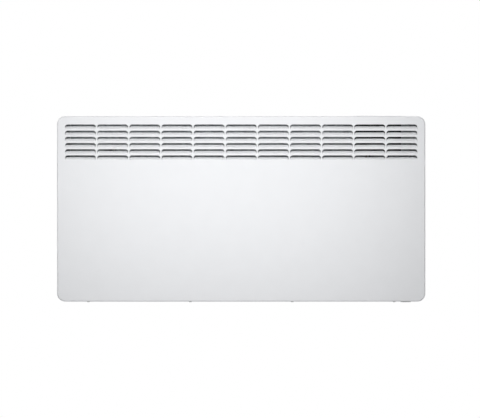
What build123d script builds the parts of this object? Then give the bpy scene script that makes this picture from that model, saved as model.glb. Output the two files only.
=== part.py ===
from build123d import *

import os
from math import cos, radians, sin

# Wall panel convector heater: a louvred steel casing with its controls on top, a finned
# heating element inside, and a welded frame that holds it to the wall.
#
# The origin is on the wall, in the middle of the four wall screws. +Z is up, the front
# faces -Y and +X is to the right of someone who looks at the front. Millimetres.

os.makedirs("parts", exist_ok=True)

# Clearances
fit_gap = 0.3  # between formed or moulded pieces that slip into each other
shaft_gap = 0.05  # round a pin or rod in its own hole

# Casing, a folded steel tray whose open side faces the wall
casing_height = 450.0
casing_depth = 99.0
casing_sheet = 1.0
casing_corner_radius = 20.0
casing_bend = 2.5  # where the front turns into the sides
wall_gap = 24.0  # from the wall to the casing's back edge

# Air outlet: tongues cut free on three sides and bent inward about their bottom edge
louvre_columns = 11
louvre_rows = 6
louvre_pitch_x = 78.0
louvre_pitch_z = 15.0
louvre_width = 74.5
louvre_height = 11.0
louvre_corner = 4.4
louvre_lean = 54.0  # degrees from upright
louvre_kerf = 0.3
grille_side_margin = 19.75
grille_top_margin = 20.0

# Air inlet: punched slots in the casing's bottom wall
inlet_columns = 13
inlet_rows = 2
inlet_pitch_x = 48.0
inlet_pitch_y = 16.0
inlet_length = 40.0
inlet_width = 8.0
inlet_setback = 34.0  # from the front face to the middle of the rows

# Rear panel, a shallow pan inside the casing's back edge
rear_recess = 4.0
rear_sheet = 0.8
rear_flange_depth = 25.0
rear_bead_length = 500.0
rear_bead_width = 18.0
rear_bead_depth = 3.0
rear_bead_spacing = 96.0
rear_bead_rise = 60.0  # of the two beads' middle

# Casing screws, driven up through the bottom wall into the rear panel's flange
casing_screw_count = 4
casing_screw_pitch = 248.0
casing_screw_setback = 16.0  # from the casing's back edge
casing_screw_diameter = 4.2
casing_screw_head_diameter = 7.0
casing_screw_head_height = 1.8
casing_screw_length = 9.0

# Duct sides, partition and heat shield
duct_side_inset = 32.0
duct_sheet = 0.8
duct_foot_width = 12.0
duct_end_gap = 18.0  # above and below a duct side
duct_front_gap = 11.0  # behind the louvre tongues
partition_gap = 12.0  # from the control housing to the partition
partition_top_drop = 108.0
shield_sheet = 0.6
shield_front_gap = 10.0
shield_return = 16.0
shield_bottom_gap = 30.0
shield_top_drop = 130.0

# Heating element: an aluminium X with cut fins on a sheathed rod
element_rise = 115.0  # from the casing's bottom to the rod
element_end_gap = 30.0
element_core_diameter = 17.0
element_wing_reach = 35.0
element_wing_thickness = 2.4
element_fin_length = 22.0
element_fin_gap = 6.0
element_fin_root = 3.0  # left uncut beside the core
element_fin_start = 14.0  # from an end bracket to the first fin
element_rod_diameter = 8.5
element_rod_overhang = 12.0  # beyond an end bracket
element_tab_width = 6.3
element_tab_thickness = 0.8
element_tab_length = 8.0
bush_side = 18.0
bush_shoulder = 4.0  # by which the bush's inner half is larger
bush_length = 8.0
element_bracket_sheet = 1.2
element_bracket_height = 62.0
element_bracket_foot = 16.0
element_bracket_reach = 20.0  # past the rod, towards the front

# Overheat cut-out above the element
cutout_length = 28.0
cutout_width = 16.0
cutout_height = 9.0
cutout_clearance = 14.0  # above the fins
cutout_side = 60.0  # from the partition
cutout_tab_spacing = 5.0
cutout_bracket_width = 24.0
cutout_bracket_sheet = 1.2

# Controls, let into the casing's top wall
control_end_inset = 59.0
control_setback = 43.0
housing_length = 114.0
housing_width = 48.0
housing_height = 86.0
housing_wall = 2.0
fascia_overlap = 2.0  # beyond the housing
fascia_lip = 0.6
fascia_plate = 2.0
fascia_wall = 1.5
fascia_corner_radius = 5.0
control_margin = 1.4  # from the fascia's skirt to the keys and to the window
control_spacing = 3.0  # from the keys to the window
button_count = 5
button_gap = 1.6
button_width = 16.0
button_proud = 0.4
button_travel = 0.8
button_flange = 1.0
button_flange_thickness = 1.0
window_length = 48.0
window_width = 24.0
window_thickness = 1.2
window_rim = 2.0
mat_thickness = 0.8
mat_dome_side = 6.0
board_thickness = 1.6
board_depth_below_top = 6.0  # from the casing's top to the control board's face
display_height = 3.4
ledge_length = 4.0
ledge_height = 6.0
power_board_height = 68.0
power_board_setback = 14.0
connector_length = 68.0
connector_width = 12.0
connector_height = 12.0
connector_rise = 4.0  # above the housing's floor
ribbon_width = 20.0
ribbon_thickness = 1.0
ribbon_lap = 9.0
ribbon_offset = -34.0
relay_length = 29.0
relay_width = 12.7
relay_height = 26.0
relay_offset = 24.0
capacitor_length = 26.0
capacitor_width = 11.0
capacitor_height = 19.0
capacitor_offset = -26.0

# Mains rocker switch in the casing's bottom wall
switch_inset = 47.5
switch_bezel_length = 31.0
switch_bezel_width = 24.8
switch_bezel_thickness = 1.2
switch_bezel_chamfer = 2.0
switch_body_length = 28.0
switch_body_width = 22.0
switch_body_height = 24.0
switch_blade_length = 9.0
switch_blade_width = 6.3
switch_blade_thickness = 0.8
switch_blade_row = 14.0
rocker_radius = 12.0
rocker_width = 18.0
rocker_angle = 10.0  # degrees from one position to the other
rocker_pressed_depth = 1.5  # of the pressed half, inside the bezel
rocker_core = 5.0  # from the pivot to the middle of the rocker's face
rocker_shoulder = 3.0  # from the pivot to the rocker's inner flat

# Supply inlet
inlet_bay_inset = 75.0
grommet_rise = 36.0
grommet_bore_diameter = 8.4
grommet_neck = 13.0
grommet_flange = 19.0
grommet_flange_thickness = 2.4
terminal_rise = 84.0
terminal_offset = 22.0  # from the switch
terminal_length = 50.0
terminal_height = 24.0
terminal_depth = 20.0
terminal_poles = 3
terminal_recess = 9.0
earth_screw_size = 8.0
earth_screw_height = 5.0
earth_screw_drop = 12.0  # below the terminal block

# Leads, with square sleeves
lead_side = 2.6
lead_bend_radius = 10.0
lead_offset = 27.0  # from the middle of the controls
return_lead_drop = 64.0  # below the rod
lead_hole = 8.0
sensor_lead_offset = 5.0  # in front of the other leads

# Room sensor, with two slots of its own in the bottom wall
sensor_offset = 30.0  # from the partition
sensor_slot_length = 20.0
sensor_slot_width = 3.0
sensor_slot_spacing = 18.0
sensor_diameter = 5.0
sensor_length = 16.0
sensor_clip_length = 10.0
sensor_clip_width = 10.0
sensor_rise = 8.0

# Wall bracket
bracket_sheet = 1.5
leg_inset = 125.0
leg_width = 40.0
leg_above_lock = 22.0
leg_below_hook = 30.0
leg_chamfer = 8.0
hook_rise = 75.0
hook_thickness = 10.0
hook_tip = 5.0
hook_tip_rise = 9.0
hook_slot_width = 3.6
hook_slot_height = 24.0
rail_height = 30.0
rail_spacing = 200.0
wall_screw_spacing_z = 260.0
wall_slot_length = 14.0
wall_slot_width = 6.5

# Quarter-turn locks that hold the casing down on the bracket
lock_drop = 82.0  # from the casing's top
lock_offset = 11.0  # from the middle of a leg
lock_standoff = 9.0  # from the rear panel to a lock's axis
lock_cam_reach = 15.0
lock_cam_width = 5.0
lock_cam_thickness = 4.0
lock_shaft_diameter = 7.6
lock_head_diameter = 12.0
lock_head_height = 3.0
lock_slot_width = 1.6
lock_opening_width = 26.0
lock_opening_height = 12.0
lock_opening_margin = 5.5  # from a lock's axis to the near edge of its opening

# Places that follow from the sizes. The mains switch's rear blade is level with the element.
casing_width = 2 * grille_side_margin + louvre_width + (louvre_columns - 1) * louvre_pitch_x
side_x = casing_width / 2
top_z = casing_height / 2
base_z = -casing_height / 2
back_y = -wall_gap
front_y = back_y - casing_depth
inner_front_y = front_y + casing_sheet
inner_top_z = top_z - casing_sheet
inner_base_z = base_z + casing_sheet
rear_y = back_y - rear_recess
inner_rear_y = rear_y - rear_sheet
top_hinge_z = top_z - grille_top_margin - louvre_height
grille_z = top_hinge_z - (louvre_rows - 1) * louvre_pitch_z / 2
duct_side_x = side_x - duct_side_inset
duct_front_y = inner_front_y + duct_front_gap
control_x = side_x - control_end_inset - housing_length / 2
control_y = front_y + control_setback
housing_bottom_z = inner_top_z - housing_height
housing_inner_length = housing_length - 2 * housing_wall
housing_inner_width = housing_width - 2 * housing_wall
partition_x = control_x - housing_length / 2 - partition_gap
element_y = (inner_rear_y + inner_front_y) / 2
element_z = base_z + element_rise
element_left_x = -duct_side_x + element_end_gap
element_right_x = partition_x - element_end_gap
switch_x = side_x - switch_inset
switch_y = element_y - switch_blade_row / 2
board_z = top_z - board_depth_below_top
leg_x = side_x - leg_inset
lock_z = top_z - lock_drop
hook_z = base_z + hook_rise
lock_y = rear_y + lock_standoff
lock_x = leg_x - lock_offset
sensor_x = partition_x + sensor_offset
sensor_y = element_y - sensor_lead_offset
casing_screw_y = back_y - casing_screw_setback

pieces = []


def finish_piece(name, piece):
    """Label a finished piece and keep it for the export."""
    piece.part.label = name
    pieces.append(piece)
    return piece


def upright_plane(y, x=0.0, z=0.0):
    """A plane that faces the front, with its own x along X and its own y along Z."""
    return Plane(origin=(x, y, z), x_dir=(1, 0, 0), z_dir=(0, -1, 0))


def cross_plane(x, y=0.0, z=0.0):
    """A plane that faces right, with its own x along Y and its own y along Z."""
    return Plane(origin=(x, y, z), x_dir=(0, 1, 0), z_dir=(1, 0, 0))


def level_plane(z, x=0.0, y=0.0):
    """A plane that faces up, with its own x along X and its own y along Y."""
    return Plane(origin=(x, y, z), x_dir=(1, 0, 0), z_dir=(0, 0, 1))


# ---------------------------------------------------------------- casing

# The outline of one louvre, from its hinge line at the bottom to its cut-off top corners.
with BuildSketch() as louvre_slot:
    Rectangle(louvre_width, louvre_height, align=(Align.CENTER, Align.MIN))
    chamfer(louvre_slot.vertices().group_by(Axis.Y)[-1], length=louvre_corner)

# The tongue that the press cuts from that outline and leans inward. It is drawn against a
# face that looks along +Z, with its hinge line on X.
lean = radians(louvre_lean)
tongue_plane = Plane(origin=(0, 0, 0), x_dir=(1, 0, 0), z_dir=(0, sin(lean), cos(lean)))
with BuildPart() as louvre_tongue:
    with BuildSketch(tongue_plane) as tongue_outline:
        Rectangle(
            louvre_width - 2 * louvre_kerf,
            louvre_height - louvre_kerf,
            align=(Align.CENTER, Align.MIN),
        )
        tongue_corners = tongue_outline.vertices().group_by(Axis.Y)[-1]
        chamfer(tongue_corners, length=louvre_corner)
    extrude(amount=-casing_sheet)

# The casing's front, sides, top and bottom are one sheet.
with BuildPart() as front_panel:
    with BuildSketch(upright_plane(back_y)):
        RectangleRounded(casing_width, casing_height, casing_corner_radius)
    extrude(amount=casing_depth)
    front_rim = front_panel.faces().sort_by(Axis.Y)[0].edges()
    chamfer(front_rim, length=casing_bend)
    open_back = front_panel.faces().sort_by(Axis.Y)[-1]
    offset(amount=-casing_sheet, openings=open_back)
    # Outlet louvres
    grille_plane = upright_plane(front_y, z=grille_z)
    with BuildSketch(grille_plane):
        with GridLocations(louvre_pitch_x, louvre_pitch_z, louvre_columns, louvre_rows):
            add(louvre_slot.sketch)
    extrude(amount=-2 * casing_sheet, mode=Mode.SUBTRACT)
    with Locations(grille_plane):
        with GridLocations(louvre_pitch_x, louvre_pitch_z, louvre_columns, louvre_rows):
            add(louvre_tongue.part)
    # Opening for the controls in the top wall
    with BuildSketch(level_plane(top_z, control_x, control_y)):
        Rectangle(housing_inner_length, housing_inner_width)
    extrude(amount=-2 * casing_sheet, mode=Mode.SUBTRACT)
    # Inlet and sensor slots, the switch's opening and the screw holes in the bottom wall
    inlet_x = (element_left_x + element_right_x) / 2
    with BuildSketch(level_plane(base_z)):
        with Locations((inlet_x, front_y + inlet_setback)):
            with GridLocations(inlet_pitch_x, inlet_pitch_y, inlet_columns, inlet_rows):
                Rectangle(inlet_length, inlet_width)
        with Locations((sensor_x, sensor_y)):
            with GridLocations(1, sensor_slot_spacing, 1, 2):
                Rectangle(sensor_slot_length, sensor_slot_width)
        with Locations((switch_x, switch_y)):
            Rectangle(switch_body_width + 2 * fit_gap, switch_body_length + 2 * fit_gap)
        with Locations((0, casing_screw_y)):
            with GridLocations(casing_screw_pitch, 1, casing_screw_count, 1):
                RegularPolygon(casing_screw_diameter / 2 + fit_gap, 6)
    extrude(amount=2 * casing_sheet, mode=Mode.SUBTRACT)
finish_piece("front_panel", front_panel)

# The rear panel's flanges point forward and sit inside the casing's back edge. Two pressed
# beads stiffen it, and the bracket's hooks and locks reach through it.
rear_width = casing_width - 2 * casing_sheet - 2 * fit_gap
rear_height = casing_height - 2 * casing_sheet - 2 * fit_gap
rear_corner_radius = casing_corner_radius - casing_sheet - fit_gap
grommet_x = side_x - inlet_bay_inset
grommet_z = base_z + grommet_rise
hook_x = (leg_width - bracket_sheet) / 2
with BuildPart() as rear_panel:
    with BuildSketch(upright_plane(rear_y)):
        RectangleRounded(rear_width, rear_height, rear_corner_radius)
    extrude(amount=rear_flange_depth)
    rear_opening = rear_panel.faces().sort_by(Axis.Y)[0]
    offset(amount=-rear_sheet, openings=rear_opening)
    with BuildSketch(upright_plane(inner_rear_y)):
        with Locations((0, rear_bead_rise)):
            with GridLocations(1, rear_bead_spacing, 1, 2):
                Rectangle(rear_bead_length + 2 * rear_sheet, rear_bead_width + 2 * rear_sheet)
    extrude(amount=rear_bead_depth, taper=45)
    with BuildSketch(upright_plane(rear_y)):
        with Locations((0, rear_bead_rise)):
            with GridLocations(1, rear_bead_spacing, 1, 2):
                Rectangle(rear_bead_length, rear_bead_width)
    extrude(amount=rear_bead_depth, taper=45, mode=Mode.SUBTRACT)
    with BuildSketch(upright_plane(rear_y)):
        for side in (-1, 1):
            opening_x = lock_x - lock_opening_margin + lock_opening_width / 2
            with Locations((side * opening_x, lock_z)):
                Rectangle(lock_opening_width, lock_opening_height)
            with Locations((side * leg_x, hook_z - hook_slot_height / 2)):
                with GridLocations(2 * hook_x, 1, 2, 1):
                    Rectangle(hook_slot_width, hook_slot_height)
        with Locations((grommet_x, grommet_z)):
            Rectangle(grommet_neck, grommet_neck)
    extrude(amount=2 * rear_sheet, mode=Mode.SUBTRACT)
    with BuildSketch(level_plane(inner_base_z)):
        with Locations((0, casing_screw_y)):
            with GridLocations(casing_screw_pitch, 1, casing_screw_count, 1):
                RegularPolygon(casing_screw_diameter / 2 + shaft_gap, 6)
    extrude(amount=2 * rear_sheet + fit_gap, mode=Mode.SUBTRACT)
finish_piece("rear_panel", rear_panel)

# Four pan-head screws hold the casing to the rear panel from below.
with BuildPart() as casing_screws:
    with BuildSketch(level_plane(base_z, y=casing_screw_y)):
        with GridLocations(casing_screw_pitch, 1, casing_screw_count, 1):
            Circle(casing_screw_head_diameter / 2)
    extrude(amount=-casing_screw_head_height)
    with BuildSketch(level_plane(base_z, y=casing_screw_y)):
        with GridLocations(casing_screw_pitch, 1, casing_screw_count, 1):
            RegularPolygon(casing_screw_diameter / 2, 6)
    extrude(amount=casing_screw_length)
finish_piece("casing_screws", casing_screws)

# ---------------------------------------------------------------- duct


def duct_wall(name, wall_x, foot_side, high_z, lead_heights=()):
    """A plate folded up from the rear panel, its foot on foot_side, with holes for leads."""
    with BuildPart() as wall:
        with BuildSketch(level_plane(duct_low_z)):
            with Locations((wall_x, duct_front_y)):
                foot_align = (Align.MIN if foot_side > 0 else Align.MAX, Align.MIN)
                Rectangle(duct_sheet, inner_rear_y - duct_front_y, align=foot_align)
            with Locations((wall_x, inner_rear_y - duct_sheet)):
                Rectangle(duct_foot_width, duct_sheet, align=foot_align)
        extrude(amount=high_z - duct_low_z)
        for lead_height in lead_heights:
            with BuildSketch(cross_plane(wall_x - duct_sheet, element_y, lead_height)):
                Rectangle(lead_hole, lead_hole)
            extrude(amount=2 * duct_sheet, mode=Mode.SUBTRACT)
    return finish_piece(name, wall)


duct_low_z = base_z + duct_end_gap
duct_high_z = top_z - duct_end_gap
partition_top_z = top_z - partition_top_drop
return_lead_z = element_z - return_lead_drop
cutout_z = element_z + element_wing_reach * sin(radians(45)) + cutout_clearance
load_z = cutout_z + cutout_height / 2
duct_wall("duct_side_left", -duct_side_x, -1, duct_high_z)
duct_wall("duct_side_right", duct_side_x, 1, duct_high_z)
duct_wall("electronics_partition", partition_x, 1, partition_top_z, (load_z, return_lead_z))

# The heat shield keeps the element's glow off the front. Its ends turn back onto the duct
# side and the partition.
shield_y = inner_front_y + shield_front_gap
shield_low_z = base_z + shield_bottom_gap
with BuildPart() as heat_shield:
    with BuildSketch(level_plane(shield_low_z, y=shield_y)):
        with Locations((-duct_side_x, 0)):
            Rectangle(partition_x + duct_side_x, shield_sheet, align=Align.MIN)
            Rectangle(shield_sheet, shield_return, align=Align.MIN)
        with Locations((partition_x, 0)):
            Rectangle(shield_sheet, shield_return, align=(Align.MAX, Align.MIN))
    extrude(amount=top_z - shield_top_drop - shield_low_z)
finish_piece("heat_shield", heat_shield)

# ---------------------------------------------------------------- heating element

fins_left_x = element_left_x + element_fin_start
fins_right_x = element_right_x - element_fin_start
fins_length = fins_right_x - fins_left_x
fin_pitch = element_fin_length + element_fin_gap
fin_gap_count = int((fins_length - element_fin_length) / fin_pitch)
fin_root_radius = element_core_diameter / 2 + element_fin_root
with BuildPart() as element_fins:
    with BuildSketch(cross_plane(fins_left_x, element_y, element_z)):
        for wing_angle in (45, -45):
            Rectangle(2 * element_wing_reach, element_wing_thickness, rotation=wing_angle)
        Circle(element_core_diameter / 2)
        Circle(element_rod_diameter / 2 + shaft_gap, mode=Mode.SUBTRACT)
    extrude(amount=fins_length)
    notch_reach = element_wing_reach - fin_root_radius
    for wing in range(4):
        wing_direction = Vector(0, 1, 0).rotate(Axis.X, 45 + 90 * wing)
        wing_plane = Plane(
            origin=((fins_left_x + fins_right_x) / 2, element_y, element_z),
            x_dir=(1, 0, 0),
            z_dir=wing_direction,
        )
        with BuildSketch(wing_plane.offset(fin_root_radius)):
            with GridLocations(fin_pitch, 1, fin_gap_count, 1):
                Rectangle(element_fin_gap, 2 * element_wing_thickness)
        extrude(amount=notch_reach + element_wing_thickness, mode=Mode.SUBTRACT)
finish_piece("element_fins", element_fins)

with BuildPart() as element_rod:
    rod_left_x = element_left_x - element_rod_overhang
    rod_right_x = element_right_x + element_rod_overhang
    with BuildSketch(cross_plane(rod_left_x, element_y, element_z)):
        Circle(element_rod_diameter / 2)
    extrude(amount=rod_right_x - rod_left_x)
    with BuildSketch(cross_plane(rod_left_x - element_tab_length, element_y, element_z)):
        Rectangle(element_tab_width, element_tab_thickness)
    extrude(amount=rod_right_x - rod_left_x + 2 * element_tab_length)
finish_piece("element_rod", element_rod)


def element_bush(name, bracket_x, side):
    """A ceramic block on the rod. Its larger half bears on the end bracket's inner face."""
    with BuildPart() as bush:
        with BuildSketch(cross_plane(bracket_x, element_y, element_z)):
            Rectangle(bush_side, bush_side)
        extrude(amount=side * bush_length)
        with BuildSketch(cross_plane(bracket_x, element_y, element_z)):
            Rectangle(bush_side + bush_shoulder, bush_side + bush_shoulder)
        extrude(amount=-side * bush_shoulder)
        with BuildSketch(cross_plane(bracket_x - side * bush_shoulder, element_y, element_z)):
            Circle(element_rod_diameter / 2 + shaft_gap)
        extrude(amount=side * (bush_length + bush_shoulder), mode=Mode.SUBTRACT)
    return finish_piece(name, bush)


def element_bracket(name, bracket_x, side):
    """An angle bracket on the rear panel that carries one end of the element."""
    reach_y = element_y - element_bracket_reach
    with BuildPart() as bracket:
        with BuildSketch(cross_plane(bracket_x, reach_y, element_z)):
            width = inner_rear_y - reach_y
            Rectangle(width, element_bracket_height, align=(Align.MIN, Align.CENTER))
            with Locations((element_y - reach_y, 0)):
                opening_side = bush_side + 2 * shaft_gap
                Rectangle(opening_side, opening_side, mode=Mode.SUBTRACT)
        extrude(amount=side * element_bracket_sheet)
        with BuildSketch(upright_plane(inner_rear_y, bracket_x, element_z)):
            foot_align = (Align.MIN if side > 0 else Align.MAX, Align.CENTER)
            Rectangle(element_bracket_foot, element_bracket_height, align=foot_align)
        extrude(amount=element_bracket_sheet)
    return finish_piece(name, bracket)


element_bush("element_bush_left", element_left_x, -1)
element_bush("element_bush_right", element_right_x, 1)
element_bracket("element_bracket_left", element_left_x, -1)
element_bracket("element_bracket_right", element_right_x, 1)

# The overheat cut-out looks down at the fins from a bent strip on the rear panel. Its two
# tabs are side by side.
cutout_x = partition_x - cutout_side
strip_length = inner_rear_y - element_y + cutout_width / 2 + cutout_bracket_sheet
with BuildPart() as cutout_bracket:
    with BuildSketch(level_plane(cutout_z + cutout_height, cutout_x, inner_rear_y)):
        Rectangle(cutout_bracket_width, strip_length, align=(Align.CENTER, Align.MAX))
    extrude(amount=cutout_bracket_sheet)
    with BuildSketch(upright_plane(inner_rear_y, cutout_x, cutout_z + cutout_height)):
        Rectangle(
            cutout_bracket_width, cutout_bracket_width, align=(Align.CENTER, Align.MIN)
        )
    extrude(amount=cutout_bracket_sheet)
finish_piece("cutout_bracket", cutout_bracket)

with BuildPart() as overheat_cutout:
    with BuildSketch(level_plane(cutout_z, cutout_x, element_y)):
        Rectangle(cutout_length, cutout_width)
        with Locations((cutout_length / 2, 0)):
            with GridLocations(1, cutout_tab_spacing, 1, 2):
                tab_align = (Align.MIN, Align.CENTER)
                Rectangle(element_tab_length, element_tab_thickness, align=tab_align)
    extrude(amount=cutout_height)
finish_piece("overheat_cutout", overheat_cutout)

# ---------------------------------------------------------------- controls

# The housing hangs under the top wall. Ledges inside its ends carry the control board, and
# leads come in through a slot in its floor.
power_board_y = control_y + housing_width / 2 - power_board_setback
power_board_face_y = power_board_y - board_thickness / 2
ledge_z = board_z - board_thickness
with BuildPart() as control_housing:
    with BuildSketch(level_plane(housing_bottom_z, control_x, control_y)):
        Rectangle(housing_length, housing_width)
    extrude(amount=housing_height)
    housing_mouth = control_housing.faces().sort_by(Axis.Z)[-1]
    offset(amount=-housing_wall, openings=housing_mouth, kind=Kind.INTERSECTION)
    with BuildSketch(level_plane(ledge_z, control_x, control_y)):
        with GridLocations(housing_inner_length - ledge_length, 1, 2, 1):
            Rectangle(ledge_length, housing_inner_width)
    extrude(amount=-ledge_height)
    with BuildSketch(level_plane(housing_bottom_z, control_x, power_board_face_y)):
        Rectangle(connector_length, connector_width, align=(Align.CENTER, Align.MAX))
    extrude(amount=housing_wall, mode=Mode.SUBTRACT)
finish_piece("control_housing", control_housing)

# The fascia's lip lies on the top wall, and its skirt drops into the housing. The window
# takes the right end, and the keys share what is left.
fascia_length = housing_length + 2 * fascia_overlap
fascia_width = housing_width + 2 * fascia_overlap
fascia_body_length = housing_inner_length - 2 * fit_gap
fascia_body_width = housing_inner_width - 2 * fit_gap
control_half_length = fascia_body_length / 2 - fascia_wall - control_margin
window_x = control_x + control_half_length - window_length / 2
button_row_length = 2 * control_half_length - window_length - control_spacing
button_row_x = control_x - control_half_length + button_row_length / 2
button_length = (button_row_length - (button_count - 1) * button_gap) / button_count
button_pitch = button_length + button_gap
fascia_top_z = top_z + fascia_lip
with BuildPart() as control_fascia:
    with BuildSketch(level_plane(top_z, control_x, control_y)):
        RectangleRounded(fascia_length, fascia_width, fascia_corner_radius)
    extrude(amount=fascia_lip)
    with BuildSketch(level_plane(top_z, control_x, control_y)):
        Rectangle(fascia_body_length, fascia_body_width)
    extrude(amount=-fascia_plate)
    with BuildSketch(level_plane(top_z, control_x, control_y)):
        Rectangle(fascia_body_length, fascia_body_width)
        Rectangle(
            fascia_body_length - 2 * fascia_wall,
            fascia_body_width - 2 * fascia_wall,
            mode=Mode.SUBTRACT,
        )
    extrude(amount=board_z + fit_gap - top_z)
    with BuildSketch(level_plane(fascia_top_z, y=control_y)):
        with Locations((button_row_x, 0)):
            with GridLocations(button_pitch, 1, button_count, 1):
                Rectangle(button_length + 2 * fit_gap, button_width + 2 * fit_gap)
        with Locations((window_x, 0)):
            Rectangle(window_length - 2 * window_rim, window_width - 2 * window_rim)
    extrude(amount=-2 * fascia_plate, mode=Mode.SUBTRACT)
    with BuildSketch(level_plane(fascia_top_z, window_x, control_y)):
        Rectangle(window_length, window_width)
    extrude(amount=-window_thickness, mode=Mode.SUBTRACT)
finish_piece("control_fascia", control_fascia)

with BuildPart() as display_window:
    with BuildSketch(level_plane(fascia_top_z, window_x, control_y)):
        Rectangle(window_length - fit_gap, window_width - fit_gap)
    extrude(amount=-window_thickness)
finish_piece("display_window", display_window)

# Five keys stand a little proud of the fascia. A flange under each stops it on the way up.
key_top_z = fascia_top_z + button_proud
key_flange_z = top_z - fascia_plate - fit_gap / 2
button_names = ["menu_button", "minus_button", "plus_button", "ok_button", "standby_button"]
for button_index, button_name in enumerate(button_names[:button_count]):
    key_x = button_row_x + (button_index - (button_count - 1) / 2) * button_pitch
    with BuildPart() as key:
        with BuildSketch(level_plane(key_top_z, key_x, control_y)):
            Rectangle(button_length, button_width)
        extrude(amount=key_flange_z - key_top_z)
        chamfer(key.faces().sort_by(Axis.Z)[-1].edges(), length=button_proud)
        with BuildSketch(level_plane(key_flange_z, key_x, control_y)):
            Rectangle(button_length + button_flange, button_width + 2 * button_flange)
        extrude(amount=-button_flange_thickness)
    finish_piece(button_name, key)

# The rubber mat lies on the control board with one raised pad under each key. A pressed key
# stops just above its pad.
pressed_flange_z = key_flange_z - button_flange_thickness - button_travel
with BuildPart() as button_mat:
    with BuildSketch(level_plane(board_z, button_row_x, control_y)):
        Rectangle(button_row_length, button_width)
    extrude(amount=mat_thickness)
    with BuildSketch(level_plane(board_z + mat_thickness, button_row_x, control_y)):
        with GridLocations(button_pitch, 1, button_count, 1):
            Rectangle(mat_dome_side, mat_dome_side)
    extrude(amount=pressed_flange_z - fit_gap - board_z - mat_thickness)
finish_piece("button_mat", button_mat)

with BuildPart() as control_board:
    with BuildSketch(level_plane(board_z, control_x, control_y)):
        Rectangle(fascia_body_length, fascia_body_width)
    extrude(amount=-board_thickness)
finish_piece("control_board", control_board)

with BuildPart() as display_module:
    with BuildSketch(level_plane(board_z, window_x, control_y)):
        Rectangle(window_length - window_rim, window_width - window_rim)
    extrude(amount=display_height)
finish_piece("display_module", display_module)

# The power board stands upright on the housing's floor with a relay and a capacitor.
housing_floor_z = housing_bottom_z + housing_wall
with BuildPart() as power_board:
    with BuildSketch(level_plane(housing_floor_z, control_x, power_board_y)):
        Rectangle(fascia_body_length, board_thickness)
    extrude(amount=power_board_height)
finish_piece("power_board", power_board)

power_board_mid_z = housing_floor_z + power_board_height / 2
with BuildPart() as power_relay:
    relay_plane = upright_plane(power_board_face_y, control_x + relay_offset, power_board_mid_z)
    with BuildSketch(relay_plane):
        Rectangle(relay_length, relay_width)
    extrude(amount=relay_height)
finish_piece("power_relay", power_relay)

with BuildPart() as filter_capacitor:
    capacitor_x = control_x + capacitor_offset
    capacitor_plane = upright_plane(power_board_face_y, capacitor_x, power_board_mid_z)
    with BuildSketch(capacitor_plane):
        Rectangle(capacitor_length, capacitor_width)
    extrude(amount=capacitor_height)
finish_piece("filter_capacitor", filter_capacitor)

connector_z = housing_floor_z + connector_rise
with BuildPart() as board_connector:
    with BuildSketch(level_plane(connector_z, control_x, power_board_face_y)):
        Rectangle(connector_length, connector_width, align=(Align.CENTER, Align.MAX))
    extrude(amount=connector_height)
finish_piece("board_connector", board_connector)

# A flat ribbon joins the two boards.
ribbon_low_z = housing_floor_z + power_board_height - ribbon_lap
with BuildPart() as board_ribbon:
    with BuildSketch(level_plane(ribbon_low_z, control_x + ribbon_offset, power_board_face_y)):
        Rectangle(ribbon_width, ribbon_thickness, align=(Align.CENTER, Align.MAX))
    extrude(amount=ledge_z - ribbon_low_z)
finish_piece("board_ribbon", board_ribbon)

# ---------------------------------------------------------------- mains switch

bezel_z = base_z - switch_bezel_thickness
pivot_z = bezel_z + rocker_pressed_depth + rocker_core
well_radius = rocker_radius + fit_gap
with BuildPart() as mains_switch_body:
    with BuildSketch(level_plane(base_z, switch_x, switch_y)):
        Rectangle(switch_bezel_width, switch_bezel_length)
    extrude(amount=-switch_bezel_thickness)
    bezel_corners = mains_switch_body.edges().filter_by(Axis.Z)
    chamfer(bezel_corners, length=switch_bezel_chamfer)
    with BuildSketch(level_plane(base_z, switch_x, switch_y)):
        Rectangle(switch_body_width, switch_body_length)
    extrude(amount=switch_body_height)
    with BuildSketch(cross_plane(switch_x, switch_y, pivot_z)):
        Circle(well_radius)
    extrude(amount=rocker_width / 2 + fit_gap, both=True, mode=Mode.SUBTRACT)
    with BuildSketch(level_plane(base_z + switch_body_height, switch_x, switch_y)):
        with GridLocations(1, switch_blade_row, 1, 2):
            Rectangle(switch_blade_thickness, switch_blade_width)
    extrude(amount=switch_blade_length)
finish_piece("mains_switch_body", mains_switch_body)

# The rocker's face is a shallow V. It is drawn in the rocker's middle position on a plane
# that is tipped to the side where its front half is pressed in.
tip = radians(rocker_angle / 2)
rocker_plane = Plane(
    origin=(switch_x, switch_y, pivot_z),
    x_dir=(0, cos(tip), sin(tip)),
    z_dir=(1, 0, 0),
)
v_depth = rocker_radius * sin(tip) / cos(tip)
with BuildPart() as mains_rocker:
    with BuildSketch(rocker_plane):
        with BuildLine():
            Polyline(
                (-rocker_radius, rocker_shoulder),
                (-rocker_radius, -rocker_core - v_depth),
                (0, -rocker_core),
                (rocker_radius, -rocker_core - v_depth),
                (rocker_radius, rocker_shoulder),
                close=True,
            )
        make_face()
        Circle(rocker_radius, mode=Mode.INTERSECT)
    extrude(amount=rocker_width / 2, both=True)
finish_piece("mains_rocker", mains_rocker)

# ---------------------------------------------------------------- supply and sensor

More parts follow.
